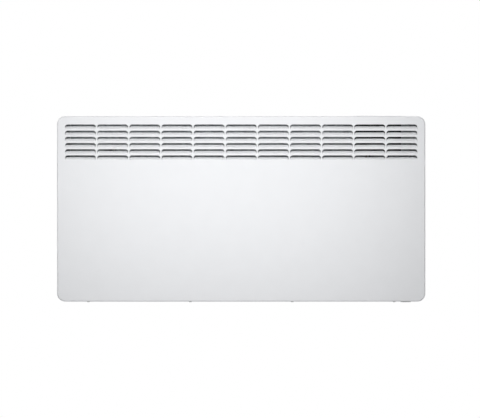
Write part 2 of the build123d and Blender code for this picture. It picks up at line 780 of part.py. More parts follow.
# A rubber grommet lines the supply opening in the rear panel. Its neck takes up the sheet
# between two flanges.
grommet_outer_y = rear_y + grommet_flange_thickness
grommet_length = 2 * grommet_flange_thickness + rear_sheet
with BuildPart() as cable_grommet:
    with BuildSketch(upright_plane(rear_y, grommet_x, grommet_z)):
        Rectangle(grommet_neck, grommet_neck)
    extrude(amount=rear_sheet)
    for flange_y in (grommet_outer_y, inner_rear_y):
        with BuildSketch(upright_plane(flange_y, grommet_x, grommet_z)):
            Rectangle(grommet_flange, grommet_flange)
        extrude(amount=grommet_flange_thickness)
    with BuildSketch(upright_plane(grommet_outer_y, grommet_x, grommet_z)):
        Circle(grommet_bore_diameter / 2)
    extrude(amount=grommet_length, mode=Mode.SUBTRACT)
finish_piece("cable_grommet", cable_grommet)

terminal_x = switch_x - terminal_offset
terminal_z = base_z + terminal_rise
terminal_y = inner_rear_y - terminal_depth / 2
with BuildPart() as terminal_block:
    with BuildSketch(upright_plane(inner_rear_y, terminal_x, terminal_z)):
        Rectangle(terminal_length, terminal_height)
    extrude(amount=terminal_depth)
    pole_pitch = terminal_length / terminal_poles
    with BuildSketch(upright_plane(inner_rear_y - terminal_depth, terminal_x, terminal_z)):
        with GridLocations(pole_pitch, 1, terminal_poles, 1):
            Rectangle(pole_pitch / 2, terminal_height / 2)
    extrude(amount=-terminal_recess, mode=Mode.SUBTRACT)
finish_piece("terminal_block", terminal_block)

terminal_low_z = terminal_z - terminal_height / 2
earth_screw_x = terminal_x - terminal_length / 2
earth_screw_z = terminal_low_z - earth_screw_drop
with BuildPart() as earth_screw:
    with BuildSketch(upright_plane(inner_rear_y, earth_screw_x, earth_screw_z)):
        RegularPolygon(earth_screw_size / 2, 6, major_radius=False, rotation=30)
    extrude(amount=earth_screw_height)
finish_piece("earth_screw", earth_screw)

# Leads. The live side goes from the terminal block through the switch to the element's far
# end, and the board closes the circuit at its near end through the overheat cut-out.
terminal_high_z = terminal_z + terminal_height / 2
blade_z = base_z + switch_body_height + switch_blade_length
blade_y = switch_y - switch_blade_row / 2
lead_turn = 1.2 * lead_bend_radius
switch_lead_z = terminal_low_z - lead_turn
supply_x = control_x + lead_offset
supply_turn_z = terminal_high_z + 2 * lead_turn
load_x = control_x - lead_offset
load_y = element_y - cutout_tab_spacing / 2
cutout_lead_y = element_y + cutout_tab_spacing / 2
cutout_tab_x = cutout_x + cutout_length / 2 + element_tab_length
near_tab_x = rod_right_x + element_tab_length / 2
far_tab_x = rod_left_x - element_tab_length / 2
earth_y = inner_rear_y - earth_screw_height / 2
sensor_z = inner_base_z + sensor_rise
sensor_end_x = sensor_x + sensor_length / 2
lead_routes = {
    "switch_lead": [
        (switch_x, terminal_y, terminal_low_z),
        (switch_x, terminal_y, switch_lead_z),
        (switch_x, blade_y, switch_lead_z),
        (switch_x, blade_y, blade_z),
    ],
    "return_lead": [
        (far_tab_x, element_y, element_z - element_tab_thickness / 2),
        (far_tab_x, element_y, return_lead_z),
        (switch_x, element_y, return_lead_z),
        (switch_x, element_y, blade_z),
    ],
    "cutout_lead": [
        (near_tab_x, cutout_lead_y, element_z + element_tab_thickness / 2),
        (near_tab_x, cutout_lead_y, load_z),
        (cutout_tab_x, cutout_lead_y, load_z),
    ],
    "load_lead": [
        (cutout_tab_x, load_y, load_z),
        (load_x, load_y, load_z),
        (load_x, load_y, connector_z),
    ],
    "supply_lead": [
        (supply_x, terminal_y, terminal_high_z),
        (supply_x, terminal_y, supply_turn_z),
        (supply_x, element_y, supply_turn_z),
        (supply_x, element_y, connector_z),
    ],
    "sensor_lead": [
        (sensor_end_x, sensor_y, sensor_z),
        (sensor_end_x + lead_turn, sensor_y, sensor_z),
        (sensor_end_x + lead_turn, sensor_y, connector_z),
    ],
    "earth_lead": [
        (terminal_x, earth_y, terminal_low_z),
        (terminal_x, earth_y, earth_screw_z),
        (earth_screw_x + earth_screw_size / 2, earth_y, earth_screw_z),
    ],
}
for lead_name, route in lead_routes.items():
    with BuildPart() as lead:
        with BuildLine() as lead_path:
            FilletPolyline(*route, radius=lead_bend_radius)
        lead_start = lead_path.line @ 0
        lead_direction = lead_path.line % 0
        with BuildSketch(Plane(origin=lead_start, z_dir=lead_direction)):
            Rectangle(lead_side, lead_side)
        sweep(path=lead_path.line)
    finish_piece(lead_name, lead)

with BuildPart() as sensor_clip:
    with BuildSketch(level_plane(inner_base_z, sensor_x, sensor_y)):
        Rectangle(sensor_clip_length, sensor_clip_width)
    extrude(amount=sensor_rise + sensor_diameter / 2)
    with BuildSketch(cross_plane(sensor_x, sensor_y, sensor_z - sensor_diameter / 2)):
        Rectangle(sensor_diameter, 2 * sensor_diameter, align=(Align.CENTER, Align.MIN))
    extrude(amount=sensor_clip_length / 2, both=True, mode=Mode.SUBTRACT)
finish_piece("sensor_clip", sensor_clip)

with BuildPart() as room_sensor:
    with BuildSketch(cross_plane(sensor_x, sensor_y, sensor_z)):
        Circle(sensor_diameter / 2)
    extrude(amount=sensor_length / 2, both=True)
finish_piece("room_sensor", room_sensor)

# ---------------------------------------------------------------- wall bracket

leg_low_z = hook_z - leg_below_hook
leg_high_z = lock_z + leg_above_lock
leg_length = leg_high_z - leg_low_z
leg_mid_z = (leg_high_z + leg_low_z) / 2
hook_inner_y = inner_rear_y - fit_gap
hook_outer_y = hook_inner_y - hook_tip
rail_y = -bracket_sheet
lug_z = lock_z + lock_cam_thickness / 2 + fit_gap


def bracket_leg(name, side):
    """One folded leg: a channel whose edges carry the lower hooks, with a lug for the lock."""
    leg_side_x = side * leg_x
    with BuildPart() as leg:
        with BuildSketch(upright_plane(0, leg_side_x, leg_mid_z)):
            Rectangle(leg_width, leg_length)
        extrude(amount=bracket_sheet)
        for edge in (-1, 1):
            edge_x = leg_side_x + edge * hook_x - bracket_sheet / 2
            with BuildSketch(cross_plane(edge_x)):
                with BuildLine():
                    Polyline(
                        (0, leg_low_z),
                        (rear_y + leg_chamfer, leg_low_z),
                        (rear_y, leg_low_z + leg_chamfer),
                        (rear_y, hook_z - hook_thickness),
                        (hook_outer_y, hook_z - hook_thickness),
                        (hook_outer_y, hook_z + hook_tip_rise),
                        (hook_inner_y, hook_z + hook_tip_rise),
                        (hook_inner_y, hook_z),
                        (rear_y, hook_z),
                        (rear_y, leg_high_z - leg_chamfer),
                        (rear_y + leg_chamfer, leg_high_z),
                        (0, leg_high_z),
                        close=True,
                    )
                make_face()
            extrude(amount=bracket_sheet)
        with BuildSketch(level_plane(lug_z, leg_side_x)):
            lug_reach = -rear_y - 2 * fit_gap
            Rectangle(leg_width, lug_reach, align=(Align.CENTER, Align.MAX))
        extrude(amount=bracket_sheet)
        with BuildSketch(level_plane(lug_z, side * lock_x, lock_y)):
            Circle(lock_shaft_diameter / 2 + fit_gap)
        extrude(amount=bracket_sheet, mode=Mode.SUBTRACT)
        with BuildSketch(upright_plane(0, leg_side_x)):
            with GridLocations(1, wall_screw_spacing_z, 1, 2):
                SlotOverall(wall_slot_length, wall_slot_width)
        extrude(amount=bracket_sheet, mode=Mode.SUBTRACT)
        inner_edge_x = leg_side_x - side * hook_x
        with BuildSketch(upright_plane(rail_y, inner_edge_x)):
            with GridLocations(1, rail_spacing, 1, 2):
                Rectangle(2 * bracket_sheet, rail_height + 2 * fit_gap)
        extrude(amount=bracket_sheet + fit_gap, mode=Mode.SUBTRACT)
    return finish_piece(name, leg)


bracket_leg("bracket_leg_left", -1)
bracket_leg("bracket_leg_right", 1)

# Two flat rails tie the legs together, each welded on at its ends.
rail_length = 2 * leg_x + leg_width - 4 * bracket_sheet
for rail_name, rail_z in (
    ("bracket_rail_top", rail_spacing / 2),
    ("bracket_rail_bottom", -rail_spacing / 2),
):
    with BuildPart() as rail:
        with BuildSketch(upright_plane(rail_y, z=rail_z)):
            Rectangle(rail_length, rail_height)
        extrude(amount=bracket_sheet)
    finish_piece(rail_name, rail)


def bracket_lock(name, side):
    """A quarter-turn lock: its slotted head is above the lug and its cam is below."""
    lock_side_x = side * lock_x
    head_z = lug_z + bracket_sheet + fit_gap
    cam_low_z = lock_z - lock_cam_thickness / 2
    with BuildPart() as lock:
        with BuildSketch(level_plane(head_z, lock_side_x, lock_y)):
            RegularPolygon(lock_head_diameter / 2, 6)
        extrude(amount=lock_head_height)
        with BuildSketch(level_plane(head_z + lock_head_height, lock_side_x, lock_y)):
            Rectangle(lock_slot_width, lock_head_diameter)
        extrude(amount=-lock_head_height / 2, mode=Mode.SUBTRACT)
        with BuildSketch(level_plane(head_z, lock_side_x, lock_y)):
            Circle(lock_shaft_diameter / 2)
        extrude(amount=cam_low_z - head_z)
        with BuildSketch(level_plane(cam_low_z, lock_side_x, lock_y)):
            Rectangle(lock_cam_width, lock_cam_reach, align=(Align.CENTER, Align.MAX))
        extrude(amount=lock_cam_thickness)
    return finish_piece(name, lock)


bracket_lock("bracket_lock_left", -1)
bracket_lock("bracket_lock_right", 1)

for piece in pieces:
    export_step(piece.part, f"parts/{piece.part.label}.step")
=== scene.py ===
import math

import bmesh
import bpy
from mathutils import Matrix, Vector


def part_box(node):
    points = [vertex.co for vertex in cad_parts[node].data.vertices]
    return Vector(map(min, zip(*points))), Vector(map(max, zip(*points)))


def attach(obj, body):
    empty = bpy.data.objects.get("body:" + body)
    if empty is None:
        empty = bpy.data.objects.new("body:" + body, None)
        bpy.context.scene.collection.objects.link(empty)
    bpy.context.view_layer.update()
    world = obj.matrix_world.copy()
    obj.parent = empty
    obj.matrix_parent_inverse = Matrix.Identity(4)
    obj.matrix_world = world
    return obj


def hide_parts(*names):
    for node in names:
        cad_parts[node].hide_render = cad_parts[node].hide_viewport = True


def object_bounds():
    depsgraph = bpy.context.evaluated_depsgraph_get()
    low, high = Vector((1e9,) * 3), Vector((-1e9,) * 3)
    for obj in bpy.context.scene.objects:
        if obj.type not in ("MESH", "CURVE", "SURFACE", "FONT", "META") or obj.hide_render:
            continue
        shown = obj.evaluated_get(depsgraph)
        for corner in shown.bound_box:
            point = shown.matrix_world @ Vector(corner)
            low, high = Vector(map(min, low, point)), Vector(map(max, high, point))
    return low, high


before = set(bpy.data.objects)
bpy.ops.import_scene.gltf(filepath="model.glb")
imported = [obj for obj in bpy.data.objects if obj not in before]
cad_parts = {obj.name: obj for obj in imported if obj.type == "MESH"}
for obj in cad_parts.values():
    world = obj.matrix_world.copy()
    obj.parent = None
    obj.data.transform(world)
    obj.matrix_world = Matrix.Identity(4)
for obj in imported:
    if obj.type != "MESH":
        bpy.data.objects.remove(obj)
cad_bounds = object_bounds()

# ---- Studio -------------------------------------------------------------
# The heater hangs in front of a white studio over a plain pale floor. A soft box stands close
# to the front, so the panel is brightest above its middle. A second one lights it from in
# front and above, low enough to reach the tongues under the slots' upper edges.
scene = bpy.context.scene
scene.view_settings.view_transform = "Standard"

CAMERA_DISTANCE = 30.0
SENSOR_WIDTH = 36.0  # millimetres
PHOTO_WIDTH = 1.1650  # metres of the front's plane across the picture
PHOTO_MIDDLE = (-0.0029, -0.0002)  # x and z that the picture's middle falls on
camera_data = bpy.data.cameras.new("studio_camera")
camera_data.sensor_width = SENSOR_WIDTH
camera_data.lens = SENSOR_WIDTH * CAMERA_DISTANCE / PHOTO_WIDTH
camera_data.clip_end = 200.0
camera = bpy.data.objects.new("studio_camera", camera_data)
scene.collection.objects.link(camera)
camera.location = (PHOTO_MIDDLE[0], cad_bounds[0][1] - CAMERA_DISTANCE, PHOTO_MIDDLE[1])
camera.rotation_euler = (math.radians(90), 0, 0)
scene.camera = camera


def deselect():
    bpy.ops.object.select_all(action="DESELECT")


def linear(hex_colour):
    """An sRGB hex colour as the linear RGBA that a shader takes."""
    channels = [int(hex_colour[i:i + 2], 16) / 255 for i in (1, 3, 5)]
    steps = [c / 12.92 if c <= 0.04045 else ((c + 0.055) / 1.055) ** 2.4 for c in channels]
    return (*steps, 1.0)


def empty_tree(owner):
    """Give a material or the world a node tree with nothing in it."""
    owner.use_nodes = True
    owner.node_tree.nodes.clear()
    return owner.node_tree


def add_node(tree, kind, inputs=None, **settings):
    """Add one shader node, with its settings and with each input linked or set."""
    node = tree.nodes.new(kind)
    for name, value in settings.items():
        setattr(node, name, value)
    for socket, value in (inputs or {}).items():
        if isinstance(value, bpy.types.NodeSocket):
            tree.links.new(value, node.inputs[socket])
        else:
            node.inputs[socket].default_value = value
    return node


def calculate(tree, operation, first, second):
    """The result of a maths node on two values."""
    node = add_node(tree, "ShaderNodeMath", {0: first, 1: second}, operation=operation)
    return node.outputs[0]


def seen_rays(tree):
    """1 for a ray that the camera sees, straight, through glass or in a gloss, else 0."""
    rays = add_node(tree, "ShaderNodeLightPath").outputs
    seen = calculate(tree, "MAXIMUM", rays["Is Camera Ray"], rays["Is Transmission Ray"])
    return calculate(tree, "MAXIMUM", seen, rays["Is Glossy Ray"])


ROOM_LIGHT = 0.055
world = bpy.data.worlds.new("white_studio")
scene.world = world
world_tree = empty_tree(world)
dim_room = add_node(world_tree, "ShaderNodeBackground", {
    "Color": linear("#F3F6FB"), "Strength": ROOM_LIGHT,
})
white_room = add_node(world_tree, "ShaderNodeBackground", {
    "Color": linear("#FFFFFF"), "Strength": 1.0,
})
room = add_node(world_tree, "ShaderNodeMixShader", {
    0: seen_rays(world_tree), 1: dim_room.outputs[0], 2: white_room.outputs[0],
})
add_node(world_tree, "ShaderNodeOutputWorld", {"Surface": room.outputs[0]})


def soft_box(name, place, aim, size, watts):
    """A rectangular lamp at place that points at aim."""
    lamp = bpy.data.lights.new(name, "AREA")
    lamp.shape = "RECTANGLE"
    lamp.size, lamp.size_y = size
    lamp.energy = watts
    lamp_object = bpy.data.objects.new(name, lamp)
    scene.collection.objects.link(lamp_object)
    lamp_object.location = place
    direction = Vector(aim) - Vector(place)
    lamp_object.rotation_euler = direction.to_track_quat("-Z", "Y").to_euler()
    lamp_object.visible_camera = False
    lamp_object.visible_glossy = False


soft_box("key_box", (-0.052, -0.487, 0.084), (-0.052, 0, 0.084), (0.955, 0.632), 1.50)
soft_box("high_box", (-0.1, -1.58, 1.16), (-0.1, -0.12, 0.1), (1.5, 0.65), 19.9)
soft_box("overhead_box", (0, 2.6, 3.4), (0, 2.6, 0), (4.4, 4.4), 35)
soft_box("rear_box", (0.5, 2.4, 1.0), (0, 0, 0), (1.8, 1.8), 11)
soft_box("left_box", (-1.6, 0.6, 0.3), (0, 0, 0), (1.0, 1.0), 9)
soft_box("right_box", (1.6, 0.6, 0.3), (0, 0, 0), (1.0, 1.0), 8)

# The floor is matt and pale. Seen straight on it is lifted towards white, and it keeps the
# heater's shadow.
FLOOR_SIZE = 24
FLOOR_Z = -0.75
FLOOR_LIFT = 0.7
deselect()
bpy.ops.mesh.primitive_plane_add(size=FLOOR_SIZE, location=(0, 0, FLOOR_Z))
floor = bpy.context.object
floor.name = "studio_floor"
floor_paint = bpy.data.materials.new("pale_floor_paint")
paint_tree = empty_tree(floor_paint)
matt_paint = add_node(paint_tree, "ShaderNodeBsdfPrincipled", {
    "Base Color": linear("#ECECEC"), "Roughness": 0.9,
})
lifted_paint = add_node(paint_tree, "ShaderNodeEmission", {
    "Color": linear("#F8F8F8"), "Strength": 1.0,
})
floor_lift = calculate(paint_tree, "MULTIPLY", seen_rays(paint_tree), FLOOR_LIFT)
floor_mix = add_node(paint_tree, "ShaderNodeMixShader", {
    0: floor_lift, 1: matt_paint.outputs[0], 2: lifted_paint.outputs[0],
})
add_node(paint_tree, "ShaderNodeOutputMaterial", {"Surface": floor_mix.outputs[0]})
floor.data.materials.append(floor_paint)

# ---- Casing -------------------------------------------------------------
# The casing is a tray folded from 1 mm steel: front, top, bottom and sides in one piece. The
# press cut 66 tongues free on three sides in its front and bent them inward.
X, Y, Z = range(3)
NEAR = 1e-5  # metres within which two places count as one
SHEET = 0.001
CORNER_RADIUS = 0.020
BEND_RADIUS = 0.0035
COAT_RADIUS = 0.0002  # how round the coat makes a cut edge
DIE_REACH = 0.003  # how far a die stands out of the sheet that it cuts
LOUVRE_PITCH = (0.078, 0.015)
LOUVRE_COUNT = (11, 6)
LOUVRE_SIZE = (0.0745, 0.011)
LOUVRE_MARGIN = 0.020  # from the casing's top to the first slots
LOUVRE_CORNER = 0.0063
LOUVRE_LEAN = math.radians(54)
TONGUE_BEND = 0.002
TONGUE_KERF = 0.0003
casing_low, casing_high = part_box("front_panel")
front_y = casing_low.y


def select_alone(piece):
    deselect()
    piece.select_set(True)
    bpy.context.view_layer.objects.active = piece


def edit(piece):
    select_alone(piece)
    bpy.ops.object.mode_set(mode="EDIT")


def leave_edit():
    bpy.ops.object.mode_set(mode="OBJECT")


def settle(name):
    """Name the object that was just added, and put its place and its turn in its mesh."""
    bpy.ops.object.transform_apply(location=True, rotation=True, scale=True)
    bpy.context.object.name = name
    return bpy.context.object


def start_cube(name, low, high):
    """A box between two corners, selected alone."""
    deselect()
    middle = (Vector(low) + Vector(high)) / 2
    bpy.ops.mesh.primitive_cube_add(size=1, location=middle, scale=Vector(high) - Vector(low))
    return settle(name)


def select_mesh():
    bpy.ops.mesh.select_all(action="SELECT")


def pick(piece, kind, test):
    """In edit mode, select the vertices, edges or faces that pass a test."""
    mesh = bmesh.from_edit_mesh(piece.data)
    bpy.ops.mesh.select_mode(type=kind)
    bpy.ops.mesh.select_all(action="DESELECT")
    for element in {"VERT": mesh.verts, "EDGE": mesh.edges, "FACE": mesh.faces}[kind]:
        if test(element):
            element.select_set(True)
    mesh.select_flush_mode()
    bmesh.update_edit_mesh(piece.data)


def along(edge, axis):
    direction = edge.verts[1].co - edge.verts[0].co
    return abs(direction[axis]) > 0.999 * direction.length


def ends(edge, axis):
    return [vertex.co[axis] for vertex in edge.verts]


def level(edge, axis, value):
    """Whether an edge lies in the plane at a value along an axis."""
    return all(abs(end - value) < NEAR for end in ends(edge, axis))


def sharp(edge, angle=1):
    return edge.calc_face_angle(0) > angle


def bevel(piece, test, radius, segments, **options):
    """In edit mode, round the edges that pass a test."""
    pick(piece, "EDGE", test)
    bpy.ops.mesh.bevel(offset=radius, segments=segments, affect="EDGES", **options)


def round_edges(piece, test, radius, segments, **options):
    """From object mode, round the edges that pass a test."""
    edit(piece)
    bevel(piece, test, radius, segments, **options)
    leave_edit()


def extrude(offset):
    """In edit mode, draw what is selected out by an offset."""
    bpy.ops.mesh.extrude_region_move(TRANSFORM_OT_translate={"value": offset})


def start_block(name, low, high, axis, corner, rim=None, rim_at=None):
    """A box that is round along an axis, and round too at the rim of one of its ends.

    corner and rim are each a radius and its number of segments.
    """
    block = start_cube(name, low, high)
    edit(block)
    bevel(block, lambda edge: along(edge, axis), *corner)
    if rim:
        bevel(block, lambda edge: level(edge, axis, rim_at), *rim)
    leave_edit()
    return block


def apply_modifier(piece, kind, **settings):
    """Add one modifier with its settings and apply it."""
    select_alone(piece)
    modifier = piece.modifiers.new(kind.lower(), kind)
    for name, value in settings.items():
        setattr(modifier, name, value)
    bpy.ops.object.modifier_apply(modifier=modifier.name)


def thicken(piece, sheet):
    """Give a surface its sheet's thickness, inwards from its normals."""
    apply_modifier(piece, "SOLIDIFY", thickness=sheet, offset=-1, use_even_offset=True)


def start_tray(name, low, high, opening, corner, bend, sheet):
    """A tray folded from sheet metal, open towards plus or minus Y."""
    closed_y = low.y if opening > 0 else high.y
    tray = start_block(name, low, high, Y, corner, bend, closed_y)
    edit(tray)
    pick(tray, "FACE", lambda face: face.normal.y * opening > 0.9)
    bpy.ops.mesh.delete(type="FACE")
    leave_edit()
    thicken(tray, sheet)
    return tray


def repeat(piece, axis, count, step):
    offset = [0, 0, 0]
    offset[axis] = step
    apply_modifier(
        piece, "ARRAY", count=count, use_relative_offset=False,
        use_constant_offset=True, constant_offset_displace=offset,
    )


def boolean(piece, other, operation="DIFFERENCE"):
    """Cut another object out of a piece, or unite or intersect them, and remove it."""
    apply_modifier(piece, "BOOLEAN", operation=operation, object=other, solver="EXACT")
    bpy.data.objects.remove(other)


def shade(piece, degrees=35):
    """Smooth the rounded faces and keep flat faces flat."""
    select_alone(piece)
    bpy.ops.object.shade_smooth_by_angle(angle=math.radians(degrees))
    apply_modifier(piece, "WEIGHTED_NORMAL", keep_sharp=True, weight=100)


casing = start_tray(
    "casing", casing_low, casing_high, 1, (CORNER_RADIUS, 16), (BEND_RADIUS, 6), SHEET,
)

# The louvre die: one slot with round upper corners, repeated over the grille.
grille_x = -LOUVRE_PITCH[0] * (LOUVRE_COUNT[0] - 1) / 2
hinge_z = casing_high.z - LOUVRE_MARGIN - LOUVRE_SIZE[1]
slot_top = hinge_z + LOUVRE_SIZE[1]


def fill_grille(piece):
    """Repeat one slot or tongue over the whole grille."""
    repeat(piece, X, LOUVRE_COUNT[0], LOUVRE_PITCH[0])
    repeat(piece, Z, LOUVRE_COUNT[1], -LOUVRE_PITCH[1])


slot = start_cube(
    "slot_die",
    (grille_x - LOUVRE_SIZE[0] / 2, front_y - DIE_REACH, hinge_z),
    (grille_x + LOUVRE_SIZE[0] / 2, front_y + DIE_REACH, slot_top),
)
round_edges(slot, lambda edge: along(edge, Y) and level(edge, Z, slot_top), LOUVRE_CORNER, 8)
fill_grille(slot)
boolean(casing, slot)

# Openings in the top and bottom walls: controls, switch, inlet slots and sensor slots.
fascia_low, fascia_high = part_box("control_fascia")
switch_low, switch_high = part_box("mains_switch_body")
for name, low, high, inset, wall_z in (
    ("top_opening", fascia_low, fascia_high, (0.004, 0.004), casing_high.z),
    ("switch_opening", switch_low, switch_high, (0.0011, 0.0012), casing_low.z),
):
    boolean(casing, start_cube(
        name,
        (low.x + inset[0], low.y + inset[1], wall_z - DIE_REACH),
        (high.x - inset[0], high.y - inset[1], wall_z + DIE_REACH),
    ))


def bottom_slots(name, middle, size, counts, pitch):
    """Punch rows of slots with round ends through the bottom wall."""
    first_x = middle[0] - pitch[0] * (counts[0] - 1) / 2
    first_y = middle[1] - pitch[1] * (counts[1] - 1) / 2
    die = start_block(
        name,
        (first_x - size[0] / 2, first_y - size[1] / 2, casing_low.z - DIE_REACH),
        (first_x + size[0] / 2, first_y + size[1] / 2, casing_low.z + DIE_REACH),
        Z, (size[1] * 0.49, 5),
    )
    repeat(die, X, counts[0], pitch[0])
    repeat(die, Y, counts[1], pitch[1])
    boolean(casing, die)


bottom_slots("inlet_die", (-0.0765, -0.089), (0.040, 0.008), (13, 2), (0.048, 0.016))
bottom_slots("sensor_die", (0.292, -0.0804), (0.020, 0.003), (1, 2), (0.048, 0.018))

SCREW_COUNT = 4
SCREW_PITCH = 0.248
SCREW_X = -SCREW_PITCH * (SCREW_COUNT - 1) / 2
SCREW_Y = -0.040


def start_cylinder(name, radius, depth, place, sides=32, turned=(0, 0, 0)):
    """A cylinder about a place, along Z unless it is turned, selected alone."""
    deselect()
    bpy.ops.mesh.primitive_cylinder_add(
        vertices=sides, radius=radius, depth=depth, location=place, rotation=turned,
    )
    return settle(name)


def screw_holes(piece, radius, wall_z):
    """Drill the casing screws' holes through a level wall."""
    die = start_cylinder("screw_die", radius, 2 * DIE_REACH, (SCREW_X, SCREW_Y, wall_z))
    repeat(die, X, SCREW_COUNT, SCREW_PITCH)
    boolean(piece, die)


screw_holes(casing, 0.0024, casing_low.z)

# The front edges of every slot but its hinge line are softened by the coat.
grille_high_z = slot_top + 0.001
grille_low_z = hinge_z - (LOUVRE_COUNT[1] - 1) * LOUVRE_PITCH[1] - 0.001
grille_side = casing_high.x - 0.019


def is_slot_rim(edge):
    """An edge round a slot, on the front's face, that isn't its hinge line."""
    if not level(edge, Y, front_y) or max(map(abs, ends(edge, X))) > grille_side:
        return False
    if min(ends(edge, Z)) <= grille_low_z or max(ends(edge, Z)) >= grille_high_z:
        return False
    on_hinge = abs((edge.verts[0].co.z - hinge_z) / LOUVRE_PITCH[1] % 1) < 0.01
    return not (on_hinge and along(edge, X)) and sharp(edge)


round_edges(casing, is_slot_rim, COAT_RADIUS, 2, clamp_overlap=True)


def start_line(name):
    """Open a new mesh in edit mode: one edge along X, 1 m long, at y -0.5."""
    deselect()
    bpy.ops.mesh.primitive_plane_add(size=1, location=(0, 0, 0))
    line = settle(name)
    edit(line)
    pick(line, "VERT", lambda vertex: vertex.co.y > 0)
    bpy.ops.mesh.delete(type="VERT")
    select_mesh()
    return line


# One tongue: its hinge line is spun round the bend and drawn out straight. It gets the
# sheet's thickness and round corners, and is repeated over the grille.
tongue_length = LOUVRE_SIZE[0] - 2 * TONGUE_KERF
tongue_straight = LOUVRE_SIZE[1] - TONGUE_KERF - TONGUE_BEND * LOUVRE_LEAN
tongue_rise = Vector((0, math.sin(LOUVRE_LEAN), math.cos(LOUVRE_LEAN)))
tongue_through = Vector((0, math.cos(LOUVRE_LEAN), -math.sin(LOUVRE_LEAN)))
tongue = start_line("tongue")
bpy.ops.transform.resize(value=(tongue_length, 1, 1), center_override=(0, 0, 0))
bpy.ops.transform.translate(value=(grille_x, 0.5 + front_y, hinge_z))
bpy.ops.mesh.spin(
    steps=6, angle=LOUVRE_LEAN, center=(0, front_y + TONGUE_BEND, hinge_z), axis=(1, 0, 0),
)
extrude(tongue_rise * tongue_straight)
select_mesh()
bpy.ops.mesh.normals_make_consistent(inside=False)
leave_edit()
if tongue.data.polygons[0].normal.y > 0:
    tongue.data.flip_normals()
thicken(tongue, SHEET)
edit(tongue)
bevel(tongue, lambda edge: (
    abs((edge.verts[1].co - edge.verts[0].co).normalized().dot(tongue_through)) > 0.99
    and edge.verts[0].co.z > hinge_z + 0.0045
), LOUVRE_CORNER - TONGUE_KERF, 8)
bevel(tongue, lambda edge: sharp(edge) and min(ends(edge, Z)) > hinge_z + NEAR, COAT_RADIUS, 2)
leave_edit()
fill_grille(tongue)


def join(pieces):
    """Join pieces into the first one."""
    deselect()
    for piece in pieces:
        piece.select_set(True)
    bpy.context.view_layer.objects.active = pieces[0]
    bpy.ops.object.join()


join([casing, tongue])
shade(casing)


def start_material(name):
    """A material that starts with the piece's own coordinates, and its node tree."""
    material = bpy.data.materials.new(name)
    tree = empty_tree(material)
    return material, tree, add_node(tree, "ShaderNodeTexCoord").outputs["Object"]


def noise(tree, place, size, detail, **inputs):
    """Cloudy noise whose lumps are about size metres wide, from 0 to 1."""
    return add_node(tree, "ShaderNodeTexNoise", {
        "Vector": place, "Scale": 1 / size, "Detail": detail, **inputs,
    }).outputs["Fac"]


def tint(tree, factor, dark, light):
    """A colour between two hex colours."""
    return add_node(tree, "ShaderNodeMix", {
        0: factor, 6: linear(dark), 7: linear(light),
    }, data_type="RGBA").outputs[2]


def spread(tree, value, low, high):
    """A value of 0 to 1 laid out from low to high."""
    return add_node(tree, "ShaderNodeMapRange", {
        "Value": value, "To Min": low, "To Max": high,
    }).outputs["Result"]


def finish_material(tree, colour, roughness, height, relief, **constants):
    """End a material in a Principled shader whose bump is relief metres deep."""
    bump = add_node(tree, "ShaderNodeBump", {"Height": height, "Distance": relief})
    shader = add_node(tree, "ShaderNodeBsdfPrincipled", {
        "Base Color": colour, "Roughness": roughness, "Normal": bump.outputs["Normal"],
    })
    for socket, value in constants.items():
        shader.inputs[socket.replace("_", " ")].default_value = value
    add_node(tree, "ShaderNodeOutputMaterial", {"Surface": shader.outputs["BSDF"]})


def moulded(name, dark, light, patch, grain, relief, roughness, stretch=(1, 1, 1), **constants):
    """A finish with soft patches of two near colours and a fine grain, sizes in metres.

    stretch below 1 draws the grain out along an axis, for drawn and rolled metal.
    """
    material, tree, place = start_material(name)
    drawn = add_node(tree, "ShaderNodeMapping", {"Vector": place, "Scale": stretch})
    patches = noise(tree, place, patch, 3.0)
    grains = noise(tree, drawn.outputs["Vector"], grain, 4.0, Roughness=0.55)
    colour = tint(tree, calculate(tree, "MULTIPLY", patches, grains), dark, light)
    gloss = spread(tree, grains, roughness - 0.06, roughness + 0.06)
    finish_material(tree, colour, gloss, grains, relief, **constants)
    return material


# Powder coat, cured in an oven: white, satin, with a faint orange peel of 1.5 mm.
casing.data.materials.append(moulded(
    "white_powder_coat", "#EDEEF0", "#F4F5F7", 0.040, 0.0015, 0.000012, 0.44,
))
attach(casing, "heater")
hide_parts("front_panel")

# ---- Rear panel ---------------------------------------------------------
# A shallow pan of 0.8 mm galvanised steel inside the casing's back edge. Two pressed beads
# stiffen it, and it is punched for the bracket's hooks and locks and for the supply grommet.
REAR_SHEET = 0.0008
REAR_CORNER = 0.0187
REAR_BEND = 0.0018
BEAD_HALF = (0.25, 0.009)
BEAD_DEPTH = 0.003
BEAD_LIP = 0.0011
LOCK_OPENING = (0.026, 0.004, 0.012)
HOOK_OPENING = (0.0036, 0.004, 0.024)
HOOK_Z = -0.150
HOOK_EDGE = 0.01925  # from a leg's middle to the middle of its flange
rear_low, rear_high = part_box("rear_panel")
rear_y = rear_high.y
rear_inner_y = rear_y - REAR_SHEET


def centre(name):
    """The middle of a solid's box."""
    low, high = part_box(name)
    return (low + high) / 2


leg_x = centre("bracket_leg_right").x
lock_x = centre("bracket_lock_right").x
lock_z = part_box("bracket_lock_right")[0].z + 0.002
grommet_place = centre("cable_grommet")
rear_panel = start_tray(
    "rear_pan", rear_low, rear_high, -1, (REAR_CORNER, 14), (REAR_BEND, 4), REAR_SHEET,
)


def bead_block(name, middle_z, grow, low_y, high_y):
    """A long block with round ends and a round nose towards the front."""
    half_x, half_z = (half + grow for half in BEAD_HALF)
    return start_block(
        name, (-half_x, low_y, middle_z - half_z), (half_x, high_y, middle_z + half_z),
        Y, (0.98 * half_z, 8), (0.85 * (BEAD_DEPTH + grow), 5), low_y,
    )


